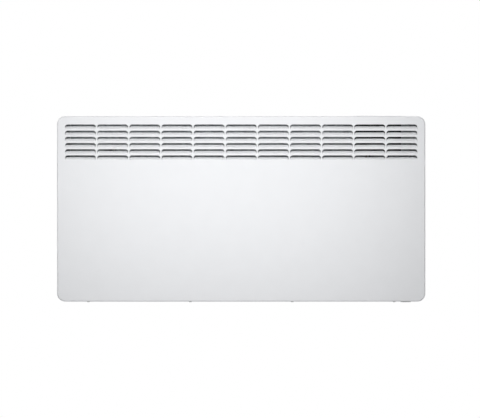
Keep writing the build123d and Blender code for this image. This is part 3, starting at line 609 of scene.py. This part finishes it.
for bead_z in (0.012, 0.108):
    ridge = bead_block(
        "bead_ridge", bead_z, REAR_SHEET, rear_inner_y - BEAD_DEPTH, rear_inner_y + 0.0004,
    )
    boolean(rear_panel, ridge, "UNION")
    trough = bead_block("bead_trough", bead_z, 0, rear_y - BEAD_DEPTH, rear_y + 0.002)
    boolean(rear_panel, trough)
round_edges(rear_panel, lambda edge: (
    level(edge, Y, rear_y) and sharp(edge, 0.8)
    and max(map(abs, ends(edge, X))) < BEAD_HALF[0] + 0.01
), BEAD_LIP, 3)


def punch(piece, middle, size, corner, axis=Y, segments=5):
    """Punch an opening with round corners through a sheet."""
    middle, half = Vector(middle), Vector(size) / 2
    boolean(piece, start_block("punch", middle - half, middle + half, axis, (corner, segments)))


for side in (-1, 1):
    punch(rear_panel, (side * (lock_x + 0.0075), rear_y, lock_z), LOCK_OPENING, 0.0015)
    for flange in (-HOOK_EDGE, HOOK_EDGE):
        hook_place = (side * leg_x + flange, rear_y, HOOK_Z - HOOK_OPENING[2] / 2)
        punch(rear_panel, hook_place, HOOK_OPENING, 0.0008, segments=3)
LYING = (math.radians(90), 0, 0)
boolean(rear_panel, start_cylinder(
    "grommet_die", 0.0065, 0.004, (grommet_place.x, rear_y, grommet_place.z), turned=LYING,
))
screw_holes(rear_panel, 0.0023, rear_low.z)

# Spot welds that hold the duct's feet show at the back as small round dents.
WELD_RADIUS = 0.0028
WELD_DEPTH = 0.00025
WELD_Z = -0.180
WELD_COUNT = 5
WELD_PITCH = 0.070
for foot_x in (-0.421, 0.268, 0.421):
    weld_dent = start_cylinder(
        "weld_dent", WELD_RADIUS, 2 * WELD_DEPTH, (foot_x, rear_y, WELD_Z), 20, LYING,
    )
    round_edges(weld_dent, lambda edge: level(edge, Y, rear_y - WELD_DEPTH), 0.0002, 2)
    repeat(weld_dent, Z, WELD_COUNT, WELD_PITCH)
    boolean(rear_panel, weld_dent)
shade(rear_panel)

# Hot-dip galvanised steel: grey zinc crystals about 9 mm wide, each with its own brightness
# and gloss, under a faint rolled grain.
galvanised, zinc_tree, zinc_place = start_material("hot_dip_galvanised_steel")
crystals = add_node(zinc_tree, "ShaderNodeTexVoronoi", {
    "Vector": zinc_place, "Scale": 1 / 0.009,
})
crystal_tones = add_node(zinc_tree, "ShaderNodeSeparateColor", {0: crystals.outputs["Color"]})
finish_material(
    zinc_tree, tint(zinc_tree, crystal_tones.outputs[0], "#A2A6A9", "#B9BDBF"),
    spread(zinc_tree, crystal_tones.outputs[1], 0.36, 0.52),
    noise(zinc_tree, zinc_place, 0.0012, 3.0), 0.000015, Metallic=1.0,
)
rear_panel.data.materials.append(galvanised)
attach(rear_panel, "heater")
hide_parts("rear_panel")

# ---- Casing screws ------------------------------------------------------
# Four zinc-plated pan-head screws with a cross recess and a coarse sheet-metal thread. They
# are driven up through the casing's bottom into the rear panel's flange.
HEAD_RADIUS = 0.0035
HEAD_ROUND = 0.0013
RECESS_HALF = (0.0019, 0.0005)
RECESS_DEPTH = 0.0013
THREAD_PITCH = 0.0014
THREAD_TURNS = 6
CREST_RADIUS = 0.0021
ROOT_RADIUS = 0.0016
screw_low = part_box("casing_screws")[0]
screw_end = (SCREW_X, SCREW_Y, screw_low.z)


def turn(angle, axis, place):
    """In edit mode, turn the whole mesh about a place. The operator counts angles backwards."""
    select_mesh()
    bpy.ops.transform.rotate(value=angle, orient_axis=axis, center_override=place)


screw = start_cylinder(
    "sheet_metal_screws", HEAD_RADIUS, casing_low.z - screw_low.z,
    (SCREW_X, SCREW_Y, (casing_low.z + screw_low.z) / 2),
)
round_edges(screw, lambda edge: level(edge, Z, screw_low.z), HEAD_ROUND, 6, profile=0.6)
for angle in (0, math.radians(90)):
    recess = start_cube(
        "recess", (SCREW_X - RECESS_HALF[0], SCREW_Y - RECESS_HALF[1], screw_low.z - 0.001),
        (SCREW_X + RECESS_HALF[0], SCREW_Y + RECESS_HALF[1], screw_low.z + RECESS_DEPTH),
    )
    edit(recess)
    pick(recess, "FACE", lambda face: face.normal.z > 0.9)
    bpy.ops.transform.resize(value=(0.5, 0.7, 1), center_override=screw_end)
    turn(angle, "Z", screw_end)
    leave_edit()
    boolean(screw, recess)

# The thread is one tooth's outline, wound upwards by a Screw modifier.
thread = start_line("thread")
bpy.ops.mesh.subdivide(number_cuts=3)
for vertex in bmesh.from_edit_mesh(thread.data).verts:
    height = vertex.co.x + 0.5
    radius = CREST_RADIUS if abs(height - 0.5) < 0.2 else ROOT_RADIUS
    vertex.co = (radius, 0, height * THREAD_PITCH)
bmesh.update_edit_mesh(thread.data)
leave_edit()
apply_modifier(
    thread, "SCREW", axis="Z", screw_offset=THREAD_PITCH, iterations=THREAD_TURNS, steps=16,
    render_steps=16, use_merge_vertices=True, merge_threshold=1e-6,
)
bpy.ops.transform.translate(value=(SCREW_X, SCREW_Y, casing_low.z - 0.0001))
settle("thread")
tip = start_cylinder(
    "tip", ROOT_RADIUS, 0.0088, (SCREW_X, SCREW_Y, casing_low.z + 0.0044), sides=16,
)
edit(tip)
pick(tip, "FACE", lambda face: face.normal.z > 0.9)
bpy.ops.mesh.inset(thickness=0.0006)
bpy.ops.transform.translate(value=(0, 0, 0.0001))
leave_edit()
join([screw, thread, tip])
repeat(screw, X, SCREW_COUNT, SCREW_PITCH)
shade(screw, 40)

# Bright zinc plating over cold-headed steel, slightly uneven in gloss.
zinc_plate = moulded(
    "bright_zinc_plated_steel", "#7C7F7D", "#A3A6A4", 0.004, 0.0004, 0.000006, 0.30,
    Metallic=1.0,
)
screw.data.materials.append(zinc_plate)
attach(screw, "heater")
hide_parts("casing_screws")


# ---- Air duct -----------------------------------------------------------
# Two folded side plates and the electronics partition stand on the rear panel, spot welded
# through their feet. They are cut from the rear panel's galvanised coil.
def dress(material, *names):
    """Give solids that are shown as they are their material."""
    for name in names:
        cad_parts[name].material_slots[0].material = material


dress(galvanised, "duct_side_left", "duct_side_right", "electronics_partition")

# The heat shield is bright aluminised steel: the rolls leave fine lines along its length.
dress(moulded(
    "aluminised_steel_shield", "#A7A9AA", "#C2C4C5", 0.060, 0.0008, 0.000008, 0.30,
    stretch=(0.04, 1, 1), Metallic=1.0,
), "heat_shield")

# ---- Heating element ----------------------------------------------------
# An aluminium X is extruded over a sheathed rod, and its wings are notched into fins. The rod
# ends in flat tabs, and two ceramic blocks hold it in angle brackets.

# Extruded aluminium: pale and satin, with the die's lines drawn along it.
dress(moulded(
    "extruded_aluminium", "#A9ABAC", "#C8CACB", 0.050, 0.0006, 0.000012, 0.38,
    stretch=(0.03, 1, 1), Metallic=1.0,
), "element_fins")

# Drawn steel sheath, browned a little by heat in patches of some centimetres.
dress(moulded(
    "heat_tinted_drawn_steel", "#7C7468", "#A29E97", 0.035, 0.0005, 0.000006, 0.34,
    stretch=(0.05, 1, 1), Metallic=1.0,
), "element_rod")

# Unglazed steatite: ivory, dull and faintly speckled.
dress(moulded(
    "unglazed_steatite", "#D9D0BC", "#ECE6D6", 0.006, 0.0005, 0.000030, 0.72,
), "element_bush_left", "element_bush_right")
dress(galvanised, "element_bracket_left", "element_bracket_right", "cutout_bracket")

# The overheat cut-out is moulded from phenolic, near black with brown flow marks.
dress(moulded(
    "moulded_phenolic", "#231D1A", "#3B2F28", 0.008, 0.0006, 0.000015, 0.42,
), "overheat_cutout")

# ---- Control housing and boards -----------------------------------------
# A moulded box hangs under the opening in the casing's top. It holds the power board upright
# and the control board level below the keys.

# Black ABS from a coarsely spark-eroded mould: dull, with a grain of 0.5 mm.
dress(moulded(
    "spark_textured_black_abs", "#1D1E20", "#2E3032", 0.020, 0.0005, 0.000040, 0.55,
), "control_housing")

# Green solder mask over copper tracks 1.2 mm apart, glossy as it dries from a liquid.
solder_mask, mask_tree, mask_place = start_material("solder_mask_on_glass_laminate")
tracks = add_node(mask_tree, "ShaderNodeTexBrick", {
    "Vector": mask_place, "Color1": linear("#0E4A2C"), "Color2": linear("#12532F"),
    "Mortar": linear("#2C7A4A"), "Scale": 1 / 0.0048, "Mortar Size": 0.035,
    "Brick Width": 1.6, "Row Height": 0.25,
})
weave = noise(mask_tree, mask_place, 0.0006, 2.0)
finish_material(
    mask_tree, tracks.outputs["Color"], spread(mask_tree, weave, 0.22, 0.34),
    tracks.outputs["Fac"], 0.000030,
)
dress(solder_mask, "control_board", "power_board")

# Moulded component cases: a blue relay, a yellow film capacitor and a natural nylon plug.
dress(moulded(
    "blue_pbt_relay_case", "#182045", "#232D5C", 0.010, 0.0004, 0.000010, 0.28,
), "power_relay")
dress(moulded(
    "yellow_pbt_capacitor_case", "#C4A02C", "#D6B445", 0.010, 0.0004, 0.000010, 0.30,
), "filter_capacitor")
natural_nylon = moulded(
    "natural_nylon", "#D5D2C4", "#E6E3D8", 0.008, 0.0006, 0.000012, 0.45,
    Subsurface_Weight=0.08, Subsurface_Scale=0.002,
)
dress(natural_nylon, "board_connector", "sensor_clip")

# The mat under the keys is silicone rubber, matt and a little dusty.
dress(moulded(
    "grey_silicone_rubber", "#43464A", "#54575B", 0.012, 0.0005, 0.000020, 0.68,
), "button_mat")


def bands(tree, place, pitch, direction, profile, distortion=0.0):
    """Straight bands a pitch apart along an axis, from 0 to 1."""
    return add_node(tree, "ShaderNodeTexWave", {
        "Vector": place, "Scale": math.tau / 20 / pitch, "Distortion": distortion, "Detail": 0.0,
    }, wave_type="BANDS", bands_direction=direction, wave_profile=profile).outputs["Fac"]


# Ribbon cable: grey PVC in round ribs 1.27 mm apart, one for each wire. Its grey follows the
# ribs: painted shade darkens the grooves and a painted highlight lightens the crests.
ribbon, ribbon_tree, ribbon_place = start_material("ribbed_pvc_ribbon")
ribs_and_groove_shade = bands(ribbon_tree, ribbon_place, 0.00127, "X", "SIN")
finish_material(
    ribbon_tree, tint(ribbon_tree, ribs_and_groove_shade, "#7B7D82", "#A3A5AA"),
    spread(ribbon_tree, ribs_and_groove_shade, 0.55, 0.42), ribs_and_groove_shade, 0.00020,
)
dress(ribbon, "board_ribbon")

# The display's front is a thin glass over a dark liquid-crystal cell.
dress(moulded(
    "liquid_crystal_glass", "#12171A", "#1B2226", 0.030, 0.002, 1e-6, 0.10,
    Coat_Weight=0.6, Coat_Roughness=0.04,
), "display_module")

# ---- Supply and sensor --------------------------------------------------
# The supply arrives at a moulded terminal block, and an earth screw grounds the rear panel.
# The leads are PVC over fine copper strands. A bead on two leads feels the room's air.

# The block is cream nylon with a soft, even sheen.
dress(moulded(
    "cream_polyamide", "#D2CFC2", "#E1DED2", 0.015, 0.0005, 0.000020, 0.48,
), "terminal_block")
dress(zinc_plate, "earth_screw")

# PVC sleeves, satin, with the faint lumps of the strands about 0.8 mm apart.
STRAND_LUMP = 0.0008
for sleeve, dark, light, names in (
    ("brown_pvc_sleeve", "#5A3420", "#6E4129",
     ("switch_lead", "return_lead", "cutout_lead", "load_lead")),
    ("blue_pvc_sleeve", "#24497E", "#2F5A97", ("supply_lead",)),
    ("black_pvc_sleeve", "#1E1F20", "#2B2C2E", ("sensor_lead",)),
):
    dress(moulded(sleeve, dark, light, 0.012, STRAND_LUMP, 0.000030, 0.40), *names)

# The earth lead is green with a yellow stripe along it.
earth_pvc, earth_tree, earth_place = start_material("green_and_yellow_pvc_sleeve")
stripe = bands(earth_tree, earth_place, 0.0026, "Y", "SAW", 0.4)
in_stripe = calculate(earth_tree, "GREATER_THAN", stripe, 0.62)
strands = noise(earth_tree, earth_place, STRAND_LUMP, 2.0)
finish_material(
    earth_tree, tint(earth_tree, in_stripe, "#2C7A34", "#D8C62E"),
    spread(earth_tree, strands, 0.35, 0.47), strands, 0.000030,
)
dress(earth_pvc, "earth_lead")

# Dipped epoxy, black and wet-looking, where the bead was drawn out of the bath.
dress(moulded(
    "dipped_black_epoxy", "#0D0D0E", "#191A1B", 0.006, 0.0015, 0.000020, 0.14,
    Coat_Weight=0.5, Coat_Roughness=0.05,
), "room_sensor")

# The grommet is one black rubber ring: a spool whose neck sits in the rear panel.
GROMMET_RADIUS = 0.0095
GROMMET_BORE = 0.0044
NECK_SHARE = 0.672  # the neck's radius as a share of the grommet's
grommet = start_cylinder(
    "supply_grommet", GROMMET_RADIUS, 0.0056, grommet_place, sides=48, turned=LYING,
)
edit(grommet)
for groove_y in (rear_y, rear_inner_y):
    select_mesh()
    bpy.ops.mesh.bisect(plane_co=(0, groove_y, 0), plane_no=(0, 1, 0))
neck_y = (rear_y + rear_inner_y) / 2
pick(grommet, "FACE", lambda face: (
    abs(face.normal.y) < 0.1 and abs(face.calc_center_median().y - neck_y) < 1e-4
))
extrude((0, 0, 0))
bpy.ops.transform.resize(value=(NECK_SHARE, 1, NECK_SHARE), center_override=grommet_place)
pick(grommet, "FACE", lambda face: abs(face.normal.y) > 0.9 and len(face.verts) > 8)
bpy.ops.mesh.inset(thickness=GROMMET_RADIUS - GROMMET_BORE)
bpy.ops.mesh.bridge_edge_loops()
bevel(grommet, lambda edge: (
    sharp(edge) and abs(edge.verts[0].co.y - neck_y) > 0.002
    and level(edge, Y, edge.verts[0].co.y)
), 0.0006, 3)
leave_edit()
shade(grommet, 40)
# Black EPDM rubber: dull, a little greyed by mould release.
grommet.data.materials.append(moulded(
    "black_epdm_rubber", "#18191A", "#2A2B2C", 0.006, 0.0004, 0.000025, 0.66,
))
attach(grommet, "heater")
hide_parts("cable_grommet")

# ---- Control row --------------------------------------------------------
# A moulded fascia clips into the opening in the casing's top and stands 0.6 mm proud. It
# frames a smoked window and five keys, which are single mouldings with inlaid signs.
LIP = 0.0006
SKIRT_INSET = 0.0043
SKIRT_WALL = 0.0015
UNDER_PLATE = (0.218, 0.223)  # the heights between which the fascia is hollow
KEY_NAMES = ("menu_button", "minus_button", "plus_button", "ok_button", "standby_button")
window_low, window_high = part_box("display_window")
fascia_top = fascia_high.z
lip_low = Vector((*fascia_low.xy, fascia_top - LIP))
fascia = start_block(
    "top_fascia", lip_low, fascia_high, Z, (0.005, 8), (0.0005, 3), fascia_top,
)
edit(fascia)
pick(fascia, "FACE", lambda face: face.normal.z < -0.9)
bpy.ops.mesh.inset(thickness=SKIRT_INSET)
extrude((0, 0, fascia_low.z - lip_low.z))
leave_edit()
skirt = SKIRT_INSET + SKIRT_WALL
boolean(fascia, start_cube(
    "under_plate",
    (fascia_low.x + skirt, fascia_low.y + skirt, UNDER_PLATE[0]),
    (fascia_high.x - skirt, fascia_high.y - skirt, UNDER_PLATE[1]),
))


def fascia_opening(name, room, depth, corner):
    """Cut an opening round a piece into the fascia, larger than it by a room in X and Y."""
    low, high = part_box(name)
    size = (high.x - low.x + room[0], high.y - low.y + room[1], 2 * depth)
    punch(fascia, (*centre(name).xy, fascia_top), size, corner, axis=Z)


for name in KEY_NAMES:
    fascia_opening(name, (-0.0004, -0.0014), 0.003, 0.0019)
fascia_opening("display_window", (0.0003, 0.0003), 0.0012, 0.0022)
fascia_opening("display_window", (-0.0037, -0.0037), 0.004, 0.001)
round_edges(fascia, lambda edge: level(edge, Z, fascia_top) and sharp(edge), 0.0002, 2)
shade(fascia)

# Light grey ABS from a finely spark-eroded mould: a satin grain of 0.4 mm.
fascia.data.materials.append(moulded(
    "light_grey_abs", "#D3D5D8", "#DFE1E3", 0.030, 0.0004, 0.000018, 0.46,
))
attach(fascia, "heater")
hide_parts("control_fascia")

window = start_block(
    "smoked_window", window_low, window_high, Z, (0.002, 6), (0.0003, 3), window_high.z,
)
shade(window)
# Smoked acrylic, polished: nearly black, with a sharp reflection and a few fine scratches.
window.data.materials.append(moulded(
    "smoked_acrylic", "#08090A", "#101113", 0.020, 0.0009, 1e-6, 0.10,
    stretch=(0.1, 1, 1), Coat_Weight=0.8, Coat_Roughness=0.03, IOR=1.49,
))
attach(window, "heater")
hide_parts("display_window")

# One key: a cap with round corners and a dished top on a flange that stops it.
FLANGE = Vector((0.0005, 0.001, 0.001))  # its width at the sides and the ends, and its height
DISH_DEPTH = 0.00035
DISH_RADII = (0.0090, 0.0174, 0.0040)
first_low, first_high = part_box(KEY_NAMES[0])
first_middle = centre(KEY_NAMES[0])
dish_z = first_high.z - DISH_DEPTH
cap_half = (first_high - first_low) / 2 - FLANGE
key_blank = start_block(
    "key_blank", first_low + FLANGE,
    (first_high.x - FLANGE.x, first_high.y - FLANGE.y, first_high.z),
    Z, (0.0016, 6), (0.0004, 4), first_high.z,
)
edit(key_blank)
pick(key_blank, "FACE", lambda face: face.normal.z < -0.9)
extrude((0, 0, 0))
flange_share = (1 + FLANGE.x / cap_half.x, 1 + FLANGE.y / cap_half.y, 1)
bpy.ops.transform.resize(value=flange_share, center_override=first_middle)
extrude((0, 0, -FLANGE.z))
leave_edit()
deselect()
bpy.ops.mesh.primitive_uv_sphere_add(
    segments=48, ring_count=64, radius=1, scale=DISH_RADII,
    location=(*first_middle.xy, dish_z + DISH_RADII[2]),
)
boolean(key_blank, settle("dish"))
SIGN_LOW = dish_z - 0.0002
SIGN_HIGH = dish_z + 0.0001


def sign_bar(middle, length, width, turned=0):
    """A flat bar of a key's sign, laid in the dish and turned by some degrees."""
    bar = start_block(
        "sign_bar",
        (middle[0] - length / 2, middle[1] - width / 2, SIGN_LOW),
        (middle[0] + length / 2, middle[1] + width / 2, SIGN_HIGH),
        Z, (width * 0.45, 3),
    )
    edit(bar)
    turn(math.radians(turned), "Z", (*middle, dish_z))
    leave_edit()
    return bar


def sign_arc(middle, radius, width, opening):
    """A flat ring of a key's sign, open at the back by an angle in degrees."""
    arc = start_cube(
        "sign_arc",
        (middle[0] + radius - width / 2, middle[1] - NEAR, SIGN_LOW),
        (middle[0] + radius + width / 2, middle[1] + NEAR, SIGN_HIGH),
    )
    edit(arc)
    pick(arc, "FACE", lambda face: face.normal.y < 0.9)
    bpy.ops.mesh.delete(type="FACE")
    turn(math.radians(-90 - opening / 2), "Z", (*middle, dish_z))
    bpy.ops.mesh.spin(
        steps=24, angle=math.radians(360 - opening), center=(*middle, dish_z), axis=(0, 0, 1),
    )
    select_mesh()
    bpy.ops.mesh.remove_doubles(threshold=1e-6)
    bpy.ops.mesh.normals_make_consistent(inside=False)
    leave_edit()
    return arc


# Key caps are a darker grey ABS than the fascia. Their signs are laser-darkened.
key_abs = moulded("mid_grey_abs", "#B4B7BB", "#C2C5C9", 0.012, 0.0004, 0.000015, 0.42)
laser_mark = moulded("laser_darkened_abs", "#2B2D30", "#3A3C40", 0.002, 0.0002, 5e-6, 0.60)
key_blank.data.materials.append(key_abs)
for name in KEY_NAMES:
    middle = centre(name).xy
    key = key_blank.copy()
    key.data = key_blank.data.copy()
    key.name = name.replace("button", "key")
    scene.collection.objects.link(key)
    edit(key)
    select_mesh()
    bpy.ops.transform.translate(value=(middle[0] - first_middle.x, 0, 0))
    leave_edit()
    if name == "menu_button":
        lines = (-0.0014, 0, 0.0014)
        signs = [sign_bar((middle[0], middle[1] + y), 0.0038, 0.0005) for y in lines]
    elif name == "minus_button":
        signs = [sign_bar(middle, 0.0038, 0.0006)]
    elif name == "plus_button":
        signs = [sign_bar(middle, 0.0038, 0.0006, turned) for turned in (0, 90)]
    elif name == "ok_button":
        signs = [
            sign_bar((middle[0] - 0.0010, middle[1] - 0.0004), 0.0020, 0.0005, 50),
            sign_bar((middle[0] + 0.0006, middle[1]), 0.0032, 0.0005, -55),
        ]
    else:
        signs = [
            sign_arc(middle, 0.0016, 0.0005, 80),
            sign_bar((middle[0], middle[1] + 0.0012), 0.0022, 0.0005, 90),
        ]
    for sign in signs:
        sign.data.materials.append(laser_mark)
    join([key, *signs])
    shade(key)
    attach(key, name)
    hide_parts(name)
bpy.data.objects.remove(key_blank)

# ---- Mains switch -------------------------------------------------------
# A snap-in rocker switch in the casing's bottom. Its bezel and its well are one moulding of
# black nylon with two tinned blades, and the rocker turns between the well's cheeks.
PIVOT = Vector((0.3995, -0.0824, -0.2197))
ACROSS = (0, math.radians(90), 0)
WELL_RADIUS = 0.0123
WELL_WIDTH = 0.0186
switch_body = start_block(
    "switch_bezel", switch_low, (*switch_high.xy, casing_low.z),
    Z, (0.0022, 6), (0.0007, 4), switch_low.z,
)
boolean(switch_body, start_cube(
    "switch_case",
    (switch_low.x + 0.0014, switch_low.y + 0.0015, casing_low.z - 0.0005),
    (switch_high.x - 0.0014, switch_high.y - 0.0015, casing_low.z + 0.024),
), "UNION")
boolean(switch_body, start_cylinder(
    "switch_well", WELL_RADIUS, WELL_WIDTH, PIVOT, sides=64, turned=ACROSS,
))
round_edges(switch_body, lambda edge: (
    level(edge, Z, switch_low.z) and sharp(edge, 0.6)
    and abs(edge.verts[0].co.x - PIVOT.x) < WELL_WIDTH / 2 + 0.0001
), 0.0003, 2)
shade(switch_body)
# Glass-filled black nylon: satin, with a grain that hides the fibres.
switch_body.data.materials.append(moulded(
    "black_glass_filled_nylon", "#191A1B", "#28292B", 0.012, 0.0005, 0.000025, 0.45,
))
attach(switch_body, "heater")
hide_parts("mains_switch_body")

BLADE_Y = PIVOT.y - 0.007
BLADE_HALF = (0.0004, 0.00315)
BLADE_PITCH = 0.014
blades = start_cube(
    "switch_blades",
    (PIVOT.x - BLADE_HALF[0], BLADE_Y - BLADE_HALF[1], casing_low.z + 0.0238),
    (PIVOT.x + BLADE_HALF[0], BLADE_Y + BLADE_HALF[1], switch_high.z),
)
round_edges(blades, lambda edge: along(edge, X) and level(edge, Z, switch_high.z), 0.0014, 1)
punch(
    blades, (PIVOT.x, BLADE_Y, switch_high.z - 0.004), (0.004, 0.0018, 0.0018),
    0.00088, axis=X, segments=4,
)
repeat(blades, Y, 2, BLADE_PITCH)
shade(blades)
# Tinned brass: a warm grey metal, with faint lines down the blades from the press.
blades.data.materials.append(moulded(
    "tinned_brass", "#A9A79C", "#C4C2B8", 0.004, 0.0005, 4e-6, 0.28,
    stretch=(1, 1, 0.1), Metallic=1.0,
))
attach(blades, "heater")
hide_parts("mains_switch_body")

# The rocker is drawn level, with a shallow V for its face, trimmed to its turning circle and
# then tipped so that its rear half is pressed in.
ROCKER_TIP = math.radians(5)
ROCKER_RADIUS = 0.012
ROCKER_HALF = 0.009
ROCKER_CORE = 0.005
v_depth = ROCKER_RADIUS * math.tan(ROCKER_TIP)
rocker = start_cube(
    "switch_rocker",
    (PIVOT.x - ROCKER_HALF, PIVOT.y - ROCKER_RADIUS, PIVOT.z - ROCKER_CORE - v_depth),
    (PIVOT.x + ROCKER_HALF, PIVOT.y + ROCKER_RADIUS, PIVOT.z + 0.003),
)
edit(rocker)
select_mesh()
bpy.ops.mesh.bisect(plane_co=PIVOT, plane_no=(0, 1, 0))
pick(rocker, "VERT", lambda v: abs(v.co.y - PIVOT.y) < NEAR and v.co.z < PIVOT.z)
bpy.ops.transform.translate(value=(0, 0, v_depth))
bevel(rocker, lambda edge: level(edge, Y, PIVOT.y) and max(ends(edge, Z)) < PIVOT.z, 0.003, 6)
leave_edit()
boolean(rocker, start_cylinder(
    "turning_circle", ROCKER_RADIUS, 0.03, PIVOT, sides=96, turned=ACROSS,
), "INTERSECT")
round_edges(rocker, lambda edge: (
    sharp(edge, 0.6) and max(ends(edge, Z)) < PIVOT.z - 0.001
), 0.0005, 3)

# The signs for on and off are pad printed, a bar on one half and a ring on the other.
SIGN_PLACE = 0.0064
BAR_HALF = (0.0003, 0.0020)
face_z = PIVOT.z - ROCKER_CORE - v_depth / 2
bar_sign = start_cube(
    "bar_sign",
    (PIVOT.x - BAR_HALF[0], PIVOT.y - SIGN_PLACE - BAR_HALF[1], face_z - 0.00005),
    (PIVOT.x + BAR_HALF[0], PIVOT.y - SIGN_PLACE + BAR_HALF[1], face_z + 0.0003),
)
ring_sign = start_cylinder(
    "ring_sign", 0.0018, 0.00035, (PIVOT.x, PIVOT.y + SIGN_PLACE, face_z + 0.000125),
)
edit(ring_sign)
pick(ring_sign, "FACE", lambda face: abs(face.normal.z) > 0.9)
bpy.ops.mesh.inset(thickness=0.0005)
bpy.ops.mesh.bridge_edge_loops()
leave_edit()
# The print is opaque white ink, and the rocker's nylon is polished to a deep gloss.
white_print = moulded("white_pad_print", "#D8D8D6", "#E6E6E4", 0.002, 0.0002, 4e-6, 0.50)
for sign, half in ((bar_sign, -1), (ring_sign, 1)):
    edit(sign)
    turn(half * ROCKER_TIP, "X", (PIVOT.x, PIVOT.y + half * SIGN_PLACE, face_z))
    leave_edit()
    sign.data.materials.append(white_print)
rocker.data.materials.append(moulded(
    "polished_black_nylon", "#101112", "#1B1C1D", 0.010, 0.0012, 3e-6, 0.20,
))
join([rocker, bar_sign, ring_sign])
edit(rocker)
turn(-ROCKER_TIP, "X", PIVOT)
leave_edit()
shade(rocker)
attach(rocker, "mains_rocker")
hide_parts("mains_rocker")

# ---- Wall bracket -------------------------------------------------------
# Two legs are folded from 1.5 mm galvanised strip into channels, each with two hooks at the
# foot and a lug for a lock at the top. Two flat rails are spot welded across them.
BRACKET_SHEET = 0.0015
WALL_SLOT = (0.014, 0.008, 0.0065)
WALL_SLOT_Z = 0.130
RAIL_NOTCH = (0.004, 0.0021, 0.0306)
RAIL_Z = 0.100
HOOK_ROOT = 0.010
HOOK_NOSE = (0.005, 0.009)  # its depth and how far it stands up behind the rear panel
LOCK_Y = -0.019
LUG_HOLE = 0.0082
lug_z = lock_z + 0.0023


def bracket_leg(name, side):
    """Fold one leg from its strip and give it its slots, its hooks and its lug."""
    low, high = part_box(name)
    middle_x = centre(name).x
    leg = start_cube(name.replace("bracket", "wall"), (low.x, rear_y, low.z), high)
    edit(leg)
    pick(leg, "FACE", lambda face: face.normal.y < -0.9 or abs(face.normal.z) > 0.9)
    bpy.ops.mesh.delete(type="FACE")
    bevel(leg, lambda edge: along(edge, Z) and level(edge, Y, high.y), 0.0025, 5)
    leave_edit()
    thicken(leg, BRACKET_SHEET)
    round_edges(leg, lambda edge: along(edge, X) and level(edge, Y, rear_y), 0.008, 6)
    for end in (-1, 1):
        punch(leg, (middle_x, 0, end * WALL_SLOT_Z), WALL_SLOT, 0.0032, segments=6)
        notch_place = (middle_x - side * HOOK_EDGE, -0.00225, end * RAIL_Z)
        punch(leg, notch_place, RAIL_NOTCH, 0.0003, axis=X, segments=1)
    # The hooks stand on the flanges' edges and reach through the rear panel.
    hooks = []
    nose_y = low.y + HOOK_NOSE[0]
    for edge_x in (middle_x - HOOK_EDGE, middle_x + HOOK_EDGE):
        hook = start_cube(
            "hook",
            (edge_x - BRACKET_SHEET / 2, low.y, HOOK_Z - HOOK_ROOT),
            (edge_x + BRACKET_SHEET / 2, rear_y, HOOK_Z),
        )
        edit(hook)
        select_mesh()
        bpy.ops.mesh.bisect(plane_co=(0, nose_y, 0), plane_no=(0, 1, 0))
        pick(hook, "FACE", lambda face: (
            face.normal.z > 0.9 and face.calc_center_median().y < nose_y
        ))
        extrude((0, 0, HOOK_NOSE[1]))
        bevel(hook, lambda edge: along(edge, X) and (
            edge.verts[0].co.z > HOOK_Z + 0.008 or level(edge, Y, low.y)
        ), 0.0018, 4)
        leave_edit()
        hooks.append(hook)
    lug = start_cube(
        "lug",
        (low.x + 0.0014, rear_y + 0.0006, lug_z),
        (high.x - 0.0014, -0.0014, lug_z + BRACKET_SHEET),
    )
    punch(lug, (side * lock_x, LOCK_Y, lug_z), (LUG_HOLE, LUG_HOLE, 0.006), 0.0040, Z, 8)
    join([leg, *hooks, lug])
    shade(leg)
    leg.data.materials.append(galvanised)
    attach(leg, "heater")
    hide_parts(name)


bracket_leg("bracket_leg_left", -1)
bracket_leg("bracket_leg_right", 1)

# Each rail has a long shallow bead pressed forward along its middle.
RAIL_MARGIN = 0.0080
RAIL_SLOPE = 0.0012
RAIL_RISE = 0.0010
for name in ("bracket_rail_top", "bracket_rail_bottom"):
    low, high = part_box(name)
    rail = start_cube(name.replace("bracket", "wall"), low, high)
    edit(rail)
    for facing in (-1, 1):
        pick(rail, "FACE", lambda face: face.normal.y * facing > 0.9)
        bpy.ops.mesh.inset(thickness=RAIL_MARGIN)
        bpy.ops.mesh.inset(thickness=RAIL_SLOPE)
        bpy.ops.transform.translate(value=(0, -RAIL_RISE, 0))
    bevel(rail, lambda edge: along(edge, Y) and abs(edge.verts[0].co.x) > high.x - NEAR, 0.002, 4)
    leave_edit()
    shade(rail, 20)
    rail.data.materials.append(galvanised)
    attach(rail, "heater")
    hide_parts(name)

# Each lock is one nylon moulding: a slotted head above the lug, a shaft through it, and a cam
# below that reaches through the rear panel and holds the casing down.
LOCK_HEAD = (0.006, 0.003)  # radius and height
SHAFT_INSET = 0.0022
CAM_HALF = 0.0025
CAM_HEIGHT = 0.004
for name, side in (("bracket_lock_left", -1), ("bracket_lock_right", 1)):
    low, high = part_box(name)
    axis_x = side * lock_x
    head_low = high.z - LOCK_HEAD[1]
    lock = start_cylinder(
        name.replace("bracket", "turn"), *LOCK_HEAD, (axis_x, LOCK_Y, (head_low + high.z) / 2),
        sides=48,
    )
    edit(lock)
    bevel(lock, lambda edge: level(edge, Z, high.z), 0.0008, 4)
    pick(lock, "FACE", lambda face: face.normal.z < -0.9)
    bpy.ops.mesh.inset(thickness=SHAFT_INSET)
    extrude((0, 0, low.z + 0.0001 - head_low))
    leave_edit()
    punch(lock, (axis_x, LOCK_Y, high.z), (0.0016, 0.014, 0.003), 0.0003, axis=Z, segments=2)
    cam = start_cube(
        "cam", (axis_x - CAM_HALF, low.y, low.z), (axis_x + CAM_HALF, LOCK_Y, low.z + CAM_HEIGHT),
    )
    edit(cam)
    bevel(cam, lambda edge: along(edge, Z) and level(edge, Y, low.y), 0.0020, 5)
    bevel(cam, lambda edge: (
        sharp(edge) and not along(edge, Z) and max(ends(edge, Y)) < LOCK_Y - NEAR
    ), 0.0004, 2)
    leave_edit()
    boolean(lock, cam, "UNION")
    shade(lock)
    lock.data.materials.append(natural_nylon)
    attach(lock, name)
    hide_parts(name)
